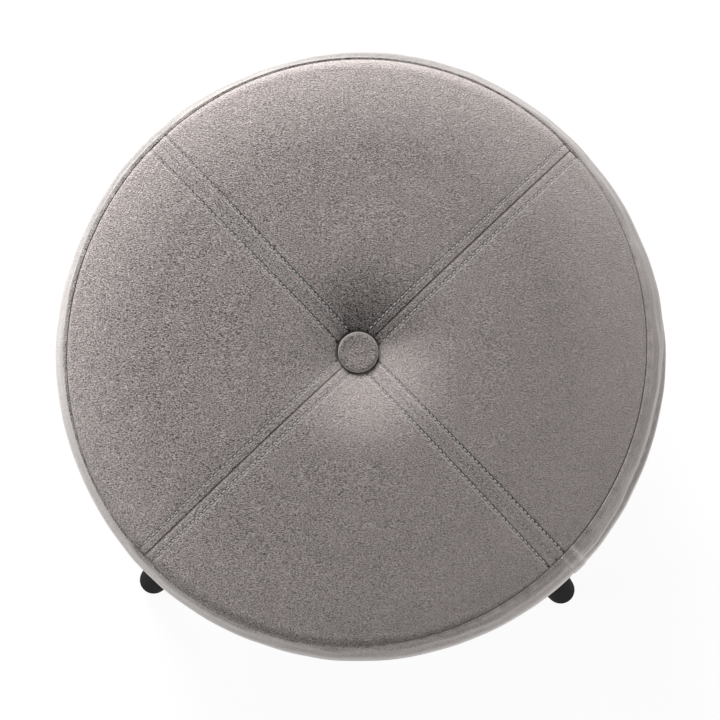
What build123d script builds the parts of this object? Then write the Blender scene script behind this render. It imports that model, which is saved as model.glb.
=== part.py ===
from build123d import *
import os
from math import asin, atan, cos, degrees, radians, sin, sqrt

# A round storage ottoman: a padded velvet drum on four splayed legs, with a button-tufted lid that lifts off.
# Millimetres, +Z up, +Y to the back. The origin is on the floor, below the centre of the drum.

os.makedirs("parts", exist_ok=True)

# Clearances
LAYER_GAP = 0.2  # between curved layers that lie on each other
LID_GAP = 0.3  # between the closed lid and the drum
LID_PLAY = 4.0  # round the locating plug, in the drum's mouth

# Cloth
VELVET = 1.5  # thickness of the cover cloth
LINING = 0.6  # thickness of the lining and dust cover cloth

# Drum
FLOOR_CLEARANCE = 165.0  # floor to the underside of the base board
DRUM_HEIGHT = 190.0  # underside of the base board to the top of the rim ring
BOARD_RADIUS = 197.0  # base board and rim ring
BASE_THICKNESS = 15.0
RIM_THICKNESS = 15.0
RIM_WIDTH = 18.0
RIM_ROUND = 2.0  # inner top edge of the rim ring, under the cover's fold
POST_COUNT = 6
POST_WIDTH = 45.0
WALL_THICKNESS = 3.0
WALL_JOINT = 1.5  # gap where the bent wall's ends meet, at the back
PADDING = 9.0
SHOULDER_ROUND = 9.0  # cover's upper outer corner
BOTTOM_ROUND = 5.0  # cover's lower outer corner
HEM_WIDTH = 57.0  # cover's hem under the base board
TUCK_DEPTH = 28.0  # cover turned down inside the rim ring
LINER_THICKNESS = 2.0
LINER_DROP = 12.0  # liner's top edge below the rim ring's top
COVER_SEAM_AZIMUTH = 0.0  # the cover's two upright seams, at each side
DUST_COVER_LAP = 5.0  # dust cover beyond the base board's edge

# Lid
LID_BOARD_THICKNESS = 12.0
PLUG_THICKNESS = 9.0
PLUG_WINDOW_RADIUS = 20.0  # hole in the plug for the tied-off twine
LINING_TURN = 20.0  # lining folded over the plug's upper edge
SEAM_OUTSET = 11.0  # seam between the top panels and the boxing, beyond the boards' edge
LID_HEM_WIDTH = 50.0  # boxing's hem under the lid board
BOXING_HEIGHT = 62.0  # lid's underside to that seam
BOXING_BULGE = 8.0
BOXING_SEAM_AZIMUTH = -44.0  # the boxing's joint at the front right, with the other one opposite
CROWN_HEIGHT = 18.0  # crest above the seam
CREST_RADIUS = 85.0  # circle along the top of the crown
ROLL_RADIUS = 22.0  # roll-off beside the seam
TUFT_DEPTH = 17.0  # button's seat below the crest
TUFT_SEAT_RADIUS = 15.0  # flat under the button
TUFT_HOLLOW_RADIUS = 45.0  # bend at the foot of the dimple
TUFT_HOLE_RADIUS = 5.5  # hole for the twine and the button's eye
CHANNEL_RADIUS = 12.0  # round channel pulled in along each sewn seam
CHANNEL_DEPTH = 1.6

# Button and twine
BUTTON_RADIUS = 14.3
BUTTON_HEIGHT = 6.0
BUTTON_ROUND = 3.5  # edge of the button's face
BUTTON_CLOTH = 0.8
BUTTON_SHEET = 0.6  # pressed steel of the shell
BUTTON_FIT = 0.1
BACK_THICKNESS = 1.4
EYE_WIRE_RADIUS = 0.8
EYE_RADIUS = 3.2  # eye's centre line
TWINE_RADIUS = 0.8
TWINE_SPREAD = 5.0  # between the two strands
TWINE_BEND = 2.0
ANCHOR_RADIUS = 12.0
ANCHOR_THICKNESS = 3.0
TWINE_HOLE_RADIUS = 4.0  # hole through the lid board

# Legs
LEG_INSET = 29.0  # leg plates' centres from the base board's edge
FOOT_SPREAD = 56.0  # feet out from the leg plates' centres
LEG_TOP_RADIUS = 18.0
LEG_TIP_RADIUS = 10.8
LEG_TOP_EDGE = 1.5
LEG_TIP_ROUND = 3.5
GLIDE_RADIUS = 6.5
GLIDE_HEIGHT = 5.0
GLIDE_EDGE = 1.0
GLIDE_NAIL_RADIUS = 1.2
GLIDE_NAIL_LENGTH = 14.0
PLATE_SIZE = 44.0
PLATE_THICKNESS = 2.0
PLATE_CORNER = 5.0
PLATE_HOLE_SPACING = 34.0
BOSS_RADIUS = 15.0
BOSS_DROP = 9.0  # leg's seat below the plate, along the leg
BOLT_RADIUS = 4.0
BOLT_BITE = 25.0  # bolt's length in the leg
BOLT_POINT = 5.0
BOLT_REACH = 8.0  # bolt's end above the base board's underside
BOLT_HOLE_RADIUS = 5.5
DIAGONALS = (45, 135, 225, 315)

# Fasteners
SCREW_RADIUS = 2.0
SCREW_HEAD_RADIUS = 3.6
SCREW_HEAD_HEIGHT = 2.0
SCREW_POINT = 3.0
FRAME_SCREW_LENGTH = 38.0
PLATE_SCREW_BITE = 11.0  # into the base board
PLUG_SCREW_BITE = 8.0  # into the lid board
PLUG_SCREW_INSET = 52.5  # from the plug's edge
PLUG_SCREW_COUNT = 4
STAPLE_CROWN = 10.0
STAPLE_WIRE = 0.8
STAPLE_LEG = 8.0
DUST_STAPLE_INSET = 3.5  # from the base board's edge
DUST_STAPLE_COUNT = 32
LID_STAPLE_COUNT = 28

# Heights up the drum
BASE_TOP = FLOOR_CLEARANCE + BASE_THICKNESS
RIM_TOP = FLOOR_CLEARANCE + DRUM_HEIGHT
RIM_BOTTOM = RIM_TOP - RIM_THICKNESS
HEM_BOTTOM = FLOOR_CLEARANCE - VELVET
FLOOR_LINER_TOP = BASE_TOP + LINER_THICKNESS
PLATE_TOP = HEM_BOTTOM - LINING
PLATE_BOTTOM = PLATE_TOP - PLATE_THICKNESS

# Radii through the drum's wall
RIM_INNER = BOARD_RADIUS - RIM_WIDTH
WALL_INNER = BOARD_RADIUS + LAYER_GAP
WALL_OUTER = WALL_INNER + WALL_THICKNESS
PADDING_INNER = WALL_OUTER + LAYER_GAP
PADDING_OUTER = PADDING_INNER + PADDING
COVER_INNER = PADDING_OUTER + LAYER_GAP
COVER_OUTER = COVER_INNER + VELVET
TUCK_OUTER = RIM_INNER - LAYER_GAP
TUCK_INNER = TUCK_OUTER - VELVET
LINER_OUTER = TUCK_INNER - LAYER_GAP
LINER_INNER = LINER_OUTER - LINER_THICKNESS

# Circles that follow the boards
HEM_RADIUS = BOARD_RADIUS - HEM_WIDTH
DUST_COVER_RADIUS = BOARD_RADIUS + DUST_COVER_LAP
DUST_STAPLE_CIRCLE = BOARD_RADIUS - DUST_STAPLE_INSET
LEG_CIRCLE = BOARD_RADIUS - LEG_INSET
FOOT_CIRCLE = LEG_CIRCLE + FOOT_SPREAD
SEAM_RADIUS = BOARD_RADIUS + SEAM_OUTSET
LID_HEM_RADIUS = SEAM_RADIUS - LID_HEM_WIDTH

# Posts stand inside the board's edge, and their inner faces clear the liners
POST_OUTER_FACE = sqrt(BOARD_RADIUS**2 - (POST_WIDTH / 2) ** 2)
POST_INNER_FACE = RIM_INNER + LAYER_GAP
POST_DEPTH = POST_OUTER_FACE - POST_INNER_FACE
POST_CENTRE = (POST_OUTER_FACE + POST_INNER_FACE) / 2

# Heights up the lid
LID_BOTTOM = RIM_TOP + VELVET + LID_GAP
LID_BOARD_BOTTOM = LID_BOTTOM + VELVET
FOAM_BOTTOM = LID_BOARD_BOTTOM + LID_BOARD_THICKNESS
SEAM_HEIGHT = LID_BOTTOM + BOXING_HEIGHT
CREST_HEIGHT = SEAM_HEIGHT + CROWN_HEIGHT
TUFT_HEIGHT = CREST_HEIGHT - TUFT_DEPTH
PLUG_TOP = LID_BOTTOM - LINING
PLUG_BOTTOM = PLUG_TOP - PLUG_THICKNESS
LINING_BOTTOM = PLUG_BOTTOM - LINING
LINING_RADIUS = TUCK_INNER - LID_PLAY
PLUG_RADIUS = LINING_RADIUS - LINING - LAYER_GAP
PLUG_SCREW_CIRCLE = PLUG_RADIUS - PLUG_SCREW_INSET
LID_STAPLE_CIRCLE = LINING_RADIUS + LID_PLAY / 2

# The boxing is one arc from the lid's underside to the seam, and the crown meets it in line
BOXING_ARC = ((BOXING_HEIGHT / 2) ** 2 + BOXING_BULGE**2) / (2 * BOXING_BULGE)
BOXING_HALF_ANGLE = asin(BOXING_HEIGHT / 2 / BOXING_ARC)
BOXING_CENTRE = SEAM_RADIUS + BOXING_BULGE - BOXING_ARC
BOXING_MIDDLE = LID_BOTTOM + BOXING_HEIGHT / 2
ROLL_ANGLE = radians(90) - BOXING_HALF_ANGLE

# The dimple is a hollow arc and a shoulder arc of one angle, and the crown is a wide arc and a roll-off
TUFT_REACH = CREST_RADIUS - TUFT_SEAT_RADIUS
TUFT_ANGLE = 2 * atan(TUFT_DEPTH / TUFT_REACH)
TUFT_SHOULDER_RADIUS = TUFT_REACH / sin(TUFT_ANGLE) - TUFT_HOLLOW_RADIUS
CROWN_REACH = SEAM_RADIUS - CREST_RADIUS - ROLL_RADIUS * sin(ROLL_ANGLE)
CROWN_DROP = CROWN_HEIGHT - ROLL_RADIUS * (1 - cos(ROLL_ANGLE))
CROWN_ANGLE = 2 * atan(CROWN_DROP / CROWN_REACH)
CROWN_RADIUS = CROWN_REACH / sin(CROWN_ANGLE) + ROLL_RADIUS
CHANNEL_LIFT = CHANNEL_RADIUS - CHANNEL_DEPTH
SEAM_RUN_ON = 2 * VELVET  # past the seam, where the shell is trimmed
SEAM_RUN_ANGLE = SEAM_RUN_ON / ROLL_RADIUS

# Legs lean out from the plates to the feet
SPLAY = atan((FOOT_CIRCLE - LEG_CIRCLE) / (PLATE_BOTTOM - GLIDE_HEIGHT))
LEG_LENGTH = (PLATE_BOTTOM - GLIDE_HEIGHT) / cos(SPLAY) - BOSS_DROP
LEG_TAPER = (LEG_TOP_RADIUS - LEG_TIP_RADIUS) / LEG_LENGTH
BOLT_END = BOSS_DROP + (FLOOR_CLEARANCE + BOLT_REACH - PLATE_BOTTOM) / cos(SPLAY)


def upright_plane(azimuth):
    """The upright plane through the axis at an azimuth: local x runs outwards, local y up."""
    turn = radians(azimuth)
    return Plane(origin=(0, 0, 0), x_dir=(cos(turn), sin(turn), 0), z_dir=(sin(turn), -cos(turn), 0))


def leg_seat(azimuth):
    """The plane of a leg's upper end, square to the leg: local x runs round the drum, local z up the leg."""
    turn = radians(azimuth)
    outward = Vector(cos(turn), sin(turn), 0)
    up_leg = Vector(0, 0, cos(SPLAY)) - outward * sin(SPLAY)
    crossing = outward * LEG_CIRCLE + Vector(0, 0, PLATE_BOTTOM)
    return Plane(origin=crossing - up_leg * BOSS_DROP, x_dir=(-sin(turn), cos(turn), 0), z_dir=up_leg)


def leg_section(azimuth):
    """The plane along a leg's axis: local x is the radius, local y the height above the seat."""
    seat = leg_seat(azimuth)
    return Plane(origin=seat.origin, x_dir=seat.x_dir, z_dir=-seat.y_dir)


def leg_axis(azimuth):
    """The centre line of a leg."""
    seat = leg_seat(azimuth)
    return Axis(seat.origin, seat.z_dir)


def seam_point(inset):
    """The cover's edge at the seam, an inset below its face, in the plane of a section."""
    return (SEAM_RADIUS - inset * sin(ROLL_ANGLE), SEAM_HEIGHT - inset * cos(ROLL_ANGLE))


def boxing_radius(height, inset):
    """The boxing's radius at a height, an inset below its face."""
    return BOXING_CENTRE + sqrt((BOXING_ARC - inset) ** 2 - (height - BOXING_MIDDLE) ** 2)


def crown_line(inset, run_angle=0):
    """Draw the lid's top from the twine hole to the seam, an inset below its face, and give the last arc.

    The run angle carries the roll-off on past the seam.
    """
    seat = Line((TUFT_HOLE_RADIUS, TUFT_HEIGHT - inset), (TUFT_SEAT_RADIUS, TUFT_HEIGHT - inset))
    hollow = JernArc(seat @ 1, seat % 1, TUFT_HOLLOW_RADIUS + inset, degrees(TUFT_ANGLE))
    shoulder = JernArc(hollow @ 1, hollow % 1, TUFT_SHOULDER_RADIUS - inset, -degrees(TUFT_ANGLE))
    crown = JernArc(shoulder @ 1, shoulder % 1, CROWN_RADIUS - inset, -degrees(CROWN_ANGLE))
    return JernArc(crown @ 1, crown % 1, ROLL_RADIUS - inset, degrees(CROWN_ANGLE - ROLL_ANGLE - run_angle))


def seam_channel(azimuth, inset):
    """The round channel along one sewn seam of the top, an inset below the cover's face."""
    with BuildPart() as channel:
        with BuildLine(upright_plane(azimuth)) as seam:
            crown_line(-CHANNEL_LIFT, SEAM_RUN_ANGLE)
        with BuildSketch(Plane(origin=seam.wire() @ 0, z_dir=seam.wire() % 0)):
            Circle(CHANNEL_RADIUS + inset)
        sweep(path=seam.wire())
    return channel.part


def crown_block(inset):
    """The crowned and channelled block under the top panels, an inset below their face."""
    with BuildPart() as block:
        with BuildSketch(Plane.XZ):
            with BuildLine():
                roll = crown_line(inset, SEAM_RUN_ANGLE)
                side = Line(roll @ 1, ((roll @ 1).X, FOAM_BOTTOM))
                floor = Line(side @ 1, (TUFT_HOLE_RADIUS, FOAM_BOTTOM))
                Line(floor @ 1, (TUFT_HOLE_RADIUS, TUFT_HEIGHT - inset))
            make_face()
        revolve(axis=Axis.Z)
        for azimuth in DIAGONALS:
            add(seam_channel(azimuth, inset), mode=Mode.SUBTRACT)
    return block.part


def countersunk_screw(length):
    """A flat-headed screw, head face on the XY plane and point up."""
    with BuildPart() as screw:
        with BuildSketch(Plane.XZ):
            Polygon(
                (0, 0),
                (SCREW_HEAD_RADIUS, 0),
                (SCREW_RADIUS, SCREW_HEAD_HEIGHT),
                (SCREW_RADIUS, length - SCREW_POINT),
                (0, length),
                align=None,
            )
        revolve(axis=Axis.Z)
    return screw.part


def pan_screw(length):
    """A domed screw, seated on the XY plane with its point up and its head below."""
    with BuildPart() as screw:
        with BuildSketch(Plane.XZ):
            with BuildLine():
                head = RadiusArc((0, -SCREW_HEAD_HEIGHT), (SCREW_HEAD_RADIUS, 0), -SCREW_HEAD_RADIUS)
                shank = Polyline(
                    head @ 1,
                    (SCREW_RADIUS, 0),
                    (SCREW_RADIUS, length - SCREW_POINT),
                    (0, length),
                )
                Line(shank @ 1, head @ 0)
            make_face()
        revolve(axis=Axis.Z)
    return screw.part


def staple():
    """A wire staple with its crown below the XY plane, along local y, and its legs up."""
    outer = STAPLE_CROWN / 2
    inner = outer - STAPLE_WIRE
    with BuildPart() as wire:
        with BuildSketch(Plane.YZ):
            Polygon(
                (-outer, -STAPLE_WIRE),
                (outer, -STAPLE_WIRE),
                (outer, STAPLE_LEG),
                (inner, STAPLE_LEG),
                (inner, 0),
                (-inner, 0),
                (-inner, STAPLE_LEG),
                (-outer, STAPLE_LEG),
                align=None,
            )
        extrude(amount=STAPLE_WIRE / 2, both=True)
    return wire.part


# Drum frame: screws first, because the boards take their holes from them
with BuildPart() as frame_screws:
    with Locations((0, 0, FLOOR_CLEARANCE)):
        with PolarLocations(POST_CENTRE, POST_COUNT):
            with GridLocations(0, POST_WIDTH / 2, 1, 2):
                add(countersunk_screw(FRAME_SCREW_LENGTH))
    with Locations((0, 0, RIM_TOP)):
        with PolarLocations(POST_CENTRE, POST_COUNT):
            add(countersunk_screw(FRAME_SCREW_LENGTH), rotation=(180, 0, 0))
frame_screws.part.label = "frame_screws"
export_step(frame_screws.part, "parts/frame_screws.step")

# Four pan-headed screws hold each leg plate to the base board
with BuildPart() as plate_screws:
    with Locations((0, 0, PLATE_BOTTOM)):
        with PolarLocations(LEG_CIRCLE, len(DIAGONALS), start_angle=DIAGONALS[0]):
            with GridLocations(PLATE_HOLE_SPACING, PLATE_HOLE_SPACING, 2, 2):
                add(pan_screw(FLOOR_CLEARANCE - PLATE_BOTTOM + PLATE_SCREW_BITE))
plate_screws.part.label = "leg_plate_screws"
export_step(plate_screws.part, "parts/leg_plate_screws.step")

# Slanted holes that give each leg bolt's end room in the base board, the hem and the dust cover
with BuildPart() as bolt_room:
    for azimuth in DIAGONALS:
        with BuildSketch(leg_seat(azimuth)):
            Circle(BOLT_HOLE_RADIUS)
        extrude(amount=BOLT_END + BOLT_RADIUS / 2)

with BuildPart() as base_board:
    with BuildSketch(Plane.XY.offset(FLOOR_CLEARANCE)):
        Circle(BOARD_RADIUS)
    extrude(amount=BASE_THICKNESS)
    add(frame_screws.part, mode=Mode.SUBTRACT)
    add(plate_screws.part, mode=Mode.SUBTRACT)
    add(bolt_room.part, mode=Mode.SUBTRACT)
base_board.part.label = "base_board"
export_step(base_board.part, "parts/base_board.step")

with BuildPart() as rim_ring:
    with BuildSketch(Plane.XY.offset(RIM_BOTTOM)):
        Circle(BOARD_RADIUS)
        Circle(RIM_INNER, mode=Mode.SUBTRACT)
    extrude(amount=RIM_THICKNESS)
    fillet(rim_ring.edges().group_by(Axis.Z)[-1].sort_by(SortBy.RADIUS)[0], RIM_ROUND)
    add(frame_screws.part, mode=Mode.SUBTRACT)
rim_ring.part.label = "rim_ring"
export_step(rim_ring.part, "parts/rim_ring.step")

for number in range(POST_COUNT):
    with BuildPart() as post:
        with BuildSketch(Plane.XY.offset(BASE_TOP).rotated((0, 0, number * 360 / POST_COUNT))):
            with Locations((POST_CENTRE, 0)):
                Rectangle(POST_DEPTH, POST_WIDTH)
        extrude(amount=RIM_BOTTOM - BASE_TOP)
        add(frame_screws.part, mode=Mode.SUBTRACT)
    post.part.label = f"post_{number + 1}"
    export_step(post.part, f"parts/post_{number + 1}.step")

with BuildPart() as wall_panel:
    with BuildSketch(Plane.XY.offset(FLOOR_CLEARANCE)):
        Circle(WALL_OUTER)
        Circle(WALL_INNER, mode=Mode.SUBTRACT)
        with Locations((0, (WALL_OUTER + WALL_INNER) / 2)):
            Rectangle(WALL_JOINT, 2 * WALL_THICKNESS, mode=Mode.SUBTRACT)
    extrude(amount=DRUM_HEIGHT)
wall_panel.part.label = "wall_panel"
export_step(wall_panel.part, "parts/wall_panel.step")

with BuildPart() as drum_padding:
    with BuildSketch(Plane.XY.offset(FLOOR_CLEARANCE)):
        Circle(PADDING_OUTER)
        Circle(PADDING_INNER, mode=Mode.SUBTRACT)
    extrude(amount=DRUM_HEIGHT)
    upper_edge = drum_padding.edges().group_by(Axis.Z)[-1].sort_by(SortBy.RADIUS)[-1]
    fillet(upper_edge, SHOULDER_ROUND - VELVET - LAYER_GAP)
    lower_edge = drum_padding.edges().group_by(Axis.Z)[0].sort_by(SortBy.RADIUS)[-1]
    fillet(lower_edge, BOTTOM_ROUND - VELVET - LAYER_GAP)
drum_padding.part.label = "drum_padding"
export_step(drum_padding.part, "parts/drum_padding.step")

# The cover wraps the drum: hem under the base, up the side, over the rim and down inside it
with BuildPart() as drum_cover:
    with BuildSketch(Plane.XZ):
        with BuildLine():
            face = FilletPolyline(
                (HEM_RADIUS, HEM_BOTTOM),
                (COVER_OUTER, HEM_BOTTOM),
                (COVER_OUTER, RIM_TOP + VELVET),
                (TUCK_INNER, RIM_TOP + VELVET),
                (TUCK_INNER, RIM_TOP - TUCK_DEPTH),
                radius=[BOTTOM_ROUND, SHOULDER_ROUND, RIM_ROUND + VELVET],
            )
            back = FilletPolyline(
                (HEM_RADIUS, FLOOR_CLEARANCE),
                (COVER_INNER, FLOOR_CLEARANCE),
                (COVER_INNER, RIM_TOP),
                (TUCK_OUTER, RIM_TOP),
                (TUCK_OUTER, RIM_TOP - TUCK_DEPTH),
                radius=[BOTTOM_ROUND - VELVET, SHOULDER_ROUND - VELVET, RIM_ROUND],
            )
            Line(face @ 0, back @ 0)
            Line(face @ 1, back @ 1)
        make_face()
    revolve(axis=Axis.Z)
    add(plate_screws.part, mode=Mode.SUBTRACT)
    add(bolt_room.part, mode=Mode.SUBTRACT)

for half, side in (("front", Keep.TOP), ("back", Keep.BOTTOM)):
    with BuildPart() as cover_half:
        add(drum_cover.part)
        split(bisect_by=upright_plane(COVER_SEAM_AZIMUTH), keep=side)
    cover_half.part.label = f"drum_cover_{half}"
    export_step(cover_half.part, f"parts/drum_cover_{half}.step")

with BuildPart() as floor_liner:
    with BuildSketch(Plane.XY.offset(BASE_TOP)):
        Circle(TUCK_OUTER)
    extrude(amount=LINER_THICKNESS)
floor_liner.part.label = "floor_liner"
export_step(floor_liner.part, "parts/floor_liner.step")

with BuildPart() as storage_liner:
    with BuildSketch(Plane.XY.offset(FLOOR_LINER_TOP)):
        Circle(LINER_OUTER)
        Circle(LINER_INNER, mode=Mode.SUBTRACT)
    extrude(amount=RIM_TOP - LINER_DROP - FLOOR_LINER_TOP)
storage_liner.part.label = "storage_liner"
export_step(storage_liner.part, "parts/storage_liner.step")

with BuildPart() as dust_cover:
    with BuildSketch(Plane.XY.offset(PLATE_TOP)):
        Circle(DUST_COVER_RADIUS)
    extrude(amount=LINING)
    add(plate_screws.part, mode=Mode.SUBTRACT)
    add(bolt_room.part, mode=Mode.SUBTRACT)
dust_cover.part.label = "dust_cover"
export_step(dust_cover.part, "parts/dust_cover.step")

with BuildPart() as dust_cover_staples:
    with Locations((0, 0, PLATE_TOP)):
        with PolarLocations(DUST_STAPLE_CIRCLE, DUST_STAPLE_COUNT):
            add(staple())
dust_cover_staples.part.label = "dust_cover_staples"
export_step(dust_cover_staples.part, "parts/dust_cover_staples.step")

# Legs: each has its bolt, its plate with a slanted boss, and a nailed glide
for number, azimuth in enumerate(DIAGONALS, start=1):
    turn = radians(azimuth)

    with BuildPart() as bolt:
        with BuildSketch(leg_section(azimuth)):
            Polygon(
                (0, -BOLT_BITE),
                (BOLT_RADIUS, BOLT_POINT - BOLT_BITE),
                (BOLT_RADIUS, BOLT_END),
                (0, BOLT_END),
                align=None,
            )
        revolve(axis=leg_axis(azimuth))
    bolt.part.label = f"leg_bolt_{number}"
    export_step(bolt.part, f"parts/leg_bolt_{number}.step")

    plate_place = Plane(
        origin=(LEG_CIRCLE * cos(turn), LEG_CIRCLE * sin(turn), PLATE_BOTTOM),
        x_dir=(cos(turn), sin(turn), 0),
        z_dir=(0, 0, 1),
    )
    with BuildPart() as plate:
        with BuildSketch(leg_seat(azimuth)):
            Circle(BOSS_RADIUS)
        extrude(amount=BOSS_DROP + BOSS_RADIUS)
        split(bisect_by=Plane.XY.offset(PLATE_TOP), keep=Keep.BOTTOM)
        with BuildSketch(plate_place):
            RectangleRounded(PLATE_SIZE, PLATE_SIZE, PLATE_CORNER)
        extrude(amount=PLATE_THICKNESS)
        add(plate_screws.part, mode=Mode.SUBTRACT)
        add(bolt.part, mode=Mode.SUBTRACT)
    plate.part.label = f"leg_plate_{number}"
    export_step(plate.part, f"parts/leg_plate_{number}.step")

    with BuildPart() as glide:
        with BuildSketch(Plane((FOOT_CIRCLE * cos(turn), FOOT_CIRCLE * sin(turn), 0))):
            Circle(GLIDE_RADIUS)
        extrude(amount=GLIDE_HEIGHT)
        fillet(glide.edges().group_by(Axis.Z)[0], GLIDE_EDGE)
        with BuildSketch(Plane((FOOT_CIRCLE * cos(turn), FOOT_CIRCLE * sin(turn), GLIDE_HEIGHT))):
            Circle(GLIDE_NAIL_RADIUS)
        extrude(amount=GLIDE_NAIL_LENGTH)
    glide.part.label = f"foot_glide_{number}"
    export_step(glide.part, f"parts/foot_glide_{number}.step")

    # The taper runs on past the floor cut, which leaves the foot level
    with BuildPart() as leg:
        with BuildSketch(leg_section(azimuth)):
            Polygon(
                (0, 0),
                (LEG_TOP_RADIUS - LEG_TOP_EDGE, 0),
                (LEG_TOP_RADIUS, -LEG_TOP_EDGE),
                (LEG_TIP_RADIUS - LEG_TIP_RADIUS * LEG_TAPER, -LEG_LENGTH - LEG_TIP_RADIUS),
                (0, -LEG_LENGTH - LEG_TIP_RADIUS),
                align=None,
            )
        revolve(axis=leg_axis(azimuth))
        split(bisect_by=Plane.XY.offset(GLIDE_HEIGHT), keep=Keep.TOP)
        fillet(leg.edges().group_by(Axis.Z)[0], LEG_TIP_ROUND)
        add(bolt.part, mode=Mode.SUBTRACT)
        add(glide.part, mode=Mode.SUBTRACT)
    leg.part.label = f"leg_{number}"
    export_step(leg.part, f"parts/leg_{number}.step")

# Lid: board, plug, lining and their screws
with BuildPart() as plug_screws:
    with Locations((0, 0, LINING_BOTTOM)):
        with PolarLocations(PLUG_SCREW_CIRCLE, PLUG_SCREW_COUNT):
            add(pan_screw(LID_BOARD_BOTTOM - LINING_BOTTOM + PLUG_SCREW_BITE))
plug_screws.part.label = "plug_screws"
export_step(plug_screws.part, "parts/plug_screws.step")

with BuildPart() as lid_board:
    with BuildSketch(Plane.XY.offset(LID_BOARD_BOTTOM)):
        Circle(boxing_radius(LID_BOARD_BOTTOM, VELVET + LAYER_GAP))
        Circle(TWINE_HOLE_RADIUS, mode=Mode.SUBTRACT)
    extrude(amount=LID_BOARD_THICKNESS)
    add(plug_screws.part, mode=Mode.SUBTRACT)
lid_board.part.label = "lid_board"
export_step(lid_board.part, "parts/lid_board.step")

with BuildPart() as lid_plug:
    with BuildSketch(Plane.XY.offset(PLUG_BOTTOM)):
        Circle(PLUG_RADIUS)
        Circle(PLUG_WINDOW_RADIUS, mode=Mode.SUBTRACT)
    extrude(amount=PLUG_THICKNESS)
    add(plug_screws.part, mode=Mode.SUBTRACT)
lid_plug.part.label = "lid_plug"
export_step(lid_plug.part, "parts/lid_plug.step")

with BuildPart() as lid_lining:
    with BuildSketch(Plane.XZ):
        Polygon(
            (0, LINING_BOTTOM),
            (LINING_RADIUS, LINING_BOTTOM),
            (LINING_RADIUS, LID_BOTTOM),
            (PLUG_RADIUS - LINING_TURN, LID_BOTTOM),
            (PLUG_RADIUS - LINING_TURN, PLUG_TOP),
            (LINING_RADIUS - LINING, PLUG_TOP),
            (LINING_RADIUS - LINING, PLUG_BOTTOM),
            (0, PLUG_BOTTOM),
            align=None,
        )
    revolve(axis=Axis.Z)
    add(plug_screws.part, mode=Mode.SUBTRACT)
lid_lining.part.label = "lid_lining"
export_step(lid_lining.part, "parts/lid_lining.step")

with BuildPart() as lid_staples:
    with Locations((0, 0, LID_BOTTOM)):
        with PolarLocations(LID_STAPLE_CIRCLE, LID_STAPLE_COUNT):
            add(staple())
lid_staples.part.label = "lid_staples"
export_step(lid_staples.part, "parts/lid_staples.step")

# Foam: crowned, dimpled and channelled on top, with the boxing's bulge at the side
FOAM_INSET = VELVET + LAYER_GAP
with BuildPart() as lid_foam:
    with BuildSketch(Plane.XZ):
        with BuildLine():
            roll = crown_line(FOAM_INSET)
            side = ThreePointArc(
                roll @ 1,
                (SEAM_RADIUS + BOXING_BULGE - FOAM_INSET, BOXING_MIDDLE),
                (boxing_radius(FOAM_BOTTOM, FOAM_INSET), FOAM_BOTTOM),
            )
            floor = Line(side @ 1, (TUFT_HOLE_RADIUS, FOAM_BOTTOM))
            Line(floor @ 1, (TUFT_HOLE_RADIUS, TUFT_HEIGHT - FOAM_INSET))
        make_face()
    revolve(axis=Axis.Z)
    for azimuth in DIAGONALS:
        add(seam_channel(azimuth, FOAM_INSET), mode=Mode.SUBTRACT)
lid_foam.part.label = "lid_foam"
export_step(lid_foam.part, "parts/lid_foam.step")

# Top cover: a shell between two crowned blocks, trimmed square at the seam and cut in four along the channels
with BuildPart() as below_seam:
    with BuildSketch(Plane.XZ):
        Polygon(
            seam_point(-SEAM_RUN_ON),
            seam_point(VELVET + SEAM_RUN_ON),
            (seam_point(VELVET + SEAM_RUN_ON)[0], FOAM_BOTTOM - SEAM_RUN_ON),
            (SEAM_RADIUS + BOXING_BULGE, FOAM_BOTTOM - SEAM_RUN_ON),
            align=None,
        )
    revolve(axis=Axis.Z)

with BuildPart() as top_cover:
    add(crown_block(0))
    add(crown_block(VELVET), mode=Mode.SUBTRACT)
    add(below_seam.part, mode=Mode.SUBTRACT)

for quarter, first, second in (
    ("back", Keep.BOTTOM, Keep.TOP),
    ("left", Keep.BOTTOM, Keep.BOTTOM),
    ("front", Keep.TOP, Keep.BOTTOM),
    ("right", Keep.TOP, Keep.TOP),
):
    with BuildPart() as panel:
        add(top_cover.part)
        split(bisect_by=upright_plane(DIAGONALS[0]), keep=first)
        split(bisect_by=upright_plane(DIAGONALS[1]), keep=second)
    panel.part.label = f"lid_panel_{quarter}"
    export_step(panel.part, f"parts/lid_panel_{quarter}.step")

with BuildPart() as boxing:
    with BuildSketch(Plane.XZ):
        with BuildLine():
            face = ThreePointArc(
                seam_point(0),
                (SEAM_RADIUS + BOXING_BULGE, BOXING_MIDDLE),
                (SEAM_RADIUS, LID_BOTTOM),
            )
            back = ThreePointArc(
                seam_point(VELVET),
                (SEAM_RADIUS + BOXING_BULGE - VELVET, BOXING_MIDDLE),
                (boxing_radius(LID_BOARD_BOTTOM, VELVET), LID_BOARD_BOTTOM),
            )
            Line(face @ 0, back @ 0)
            Polyline(face @ 1, (LID_HEM_RADIUS, LID_BOTTOM), (LID_HEM_RADIUS, LID_BOARD_BOTTOM), back @ 1)
        make_face()
    revolve(axis=Axis.Z)

for half, side in (("front", Keep.TOP), ("back", Keep.BOTTOM)):
    with BuildPart() as boxing_half:
        add(boxing.part)
        split(bisect_by=upright_plane(BOXING_SEAM_AZIMUTH), keep=side)
    boxing_half.part.label = f"lid_boxing_{half}"
    export_step(boxing_half.part, f"parts/lid_boxing_{half}.step")

# Button: cloth over a pressed shell, closed by a back with a wire eye


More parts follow.
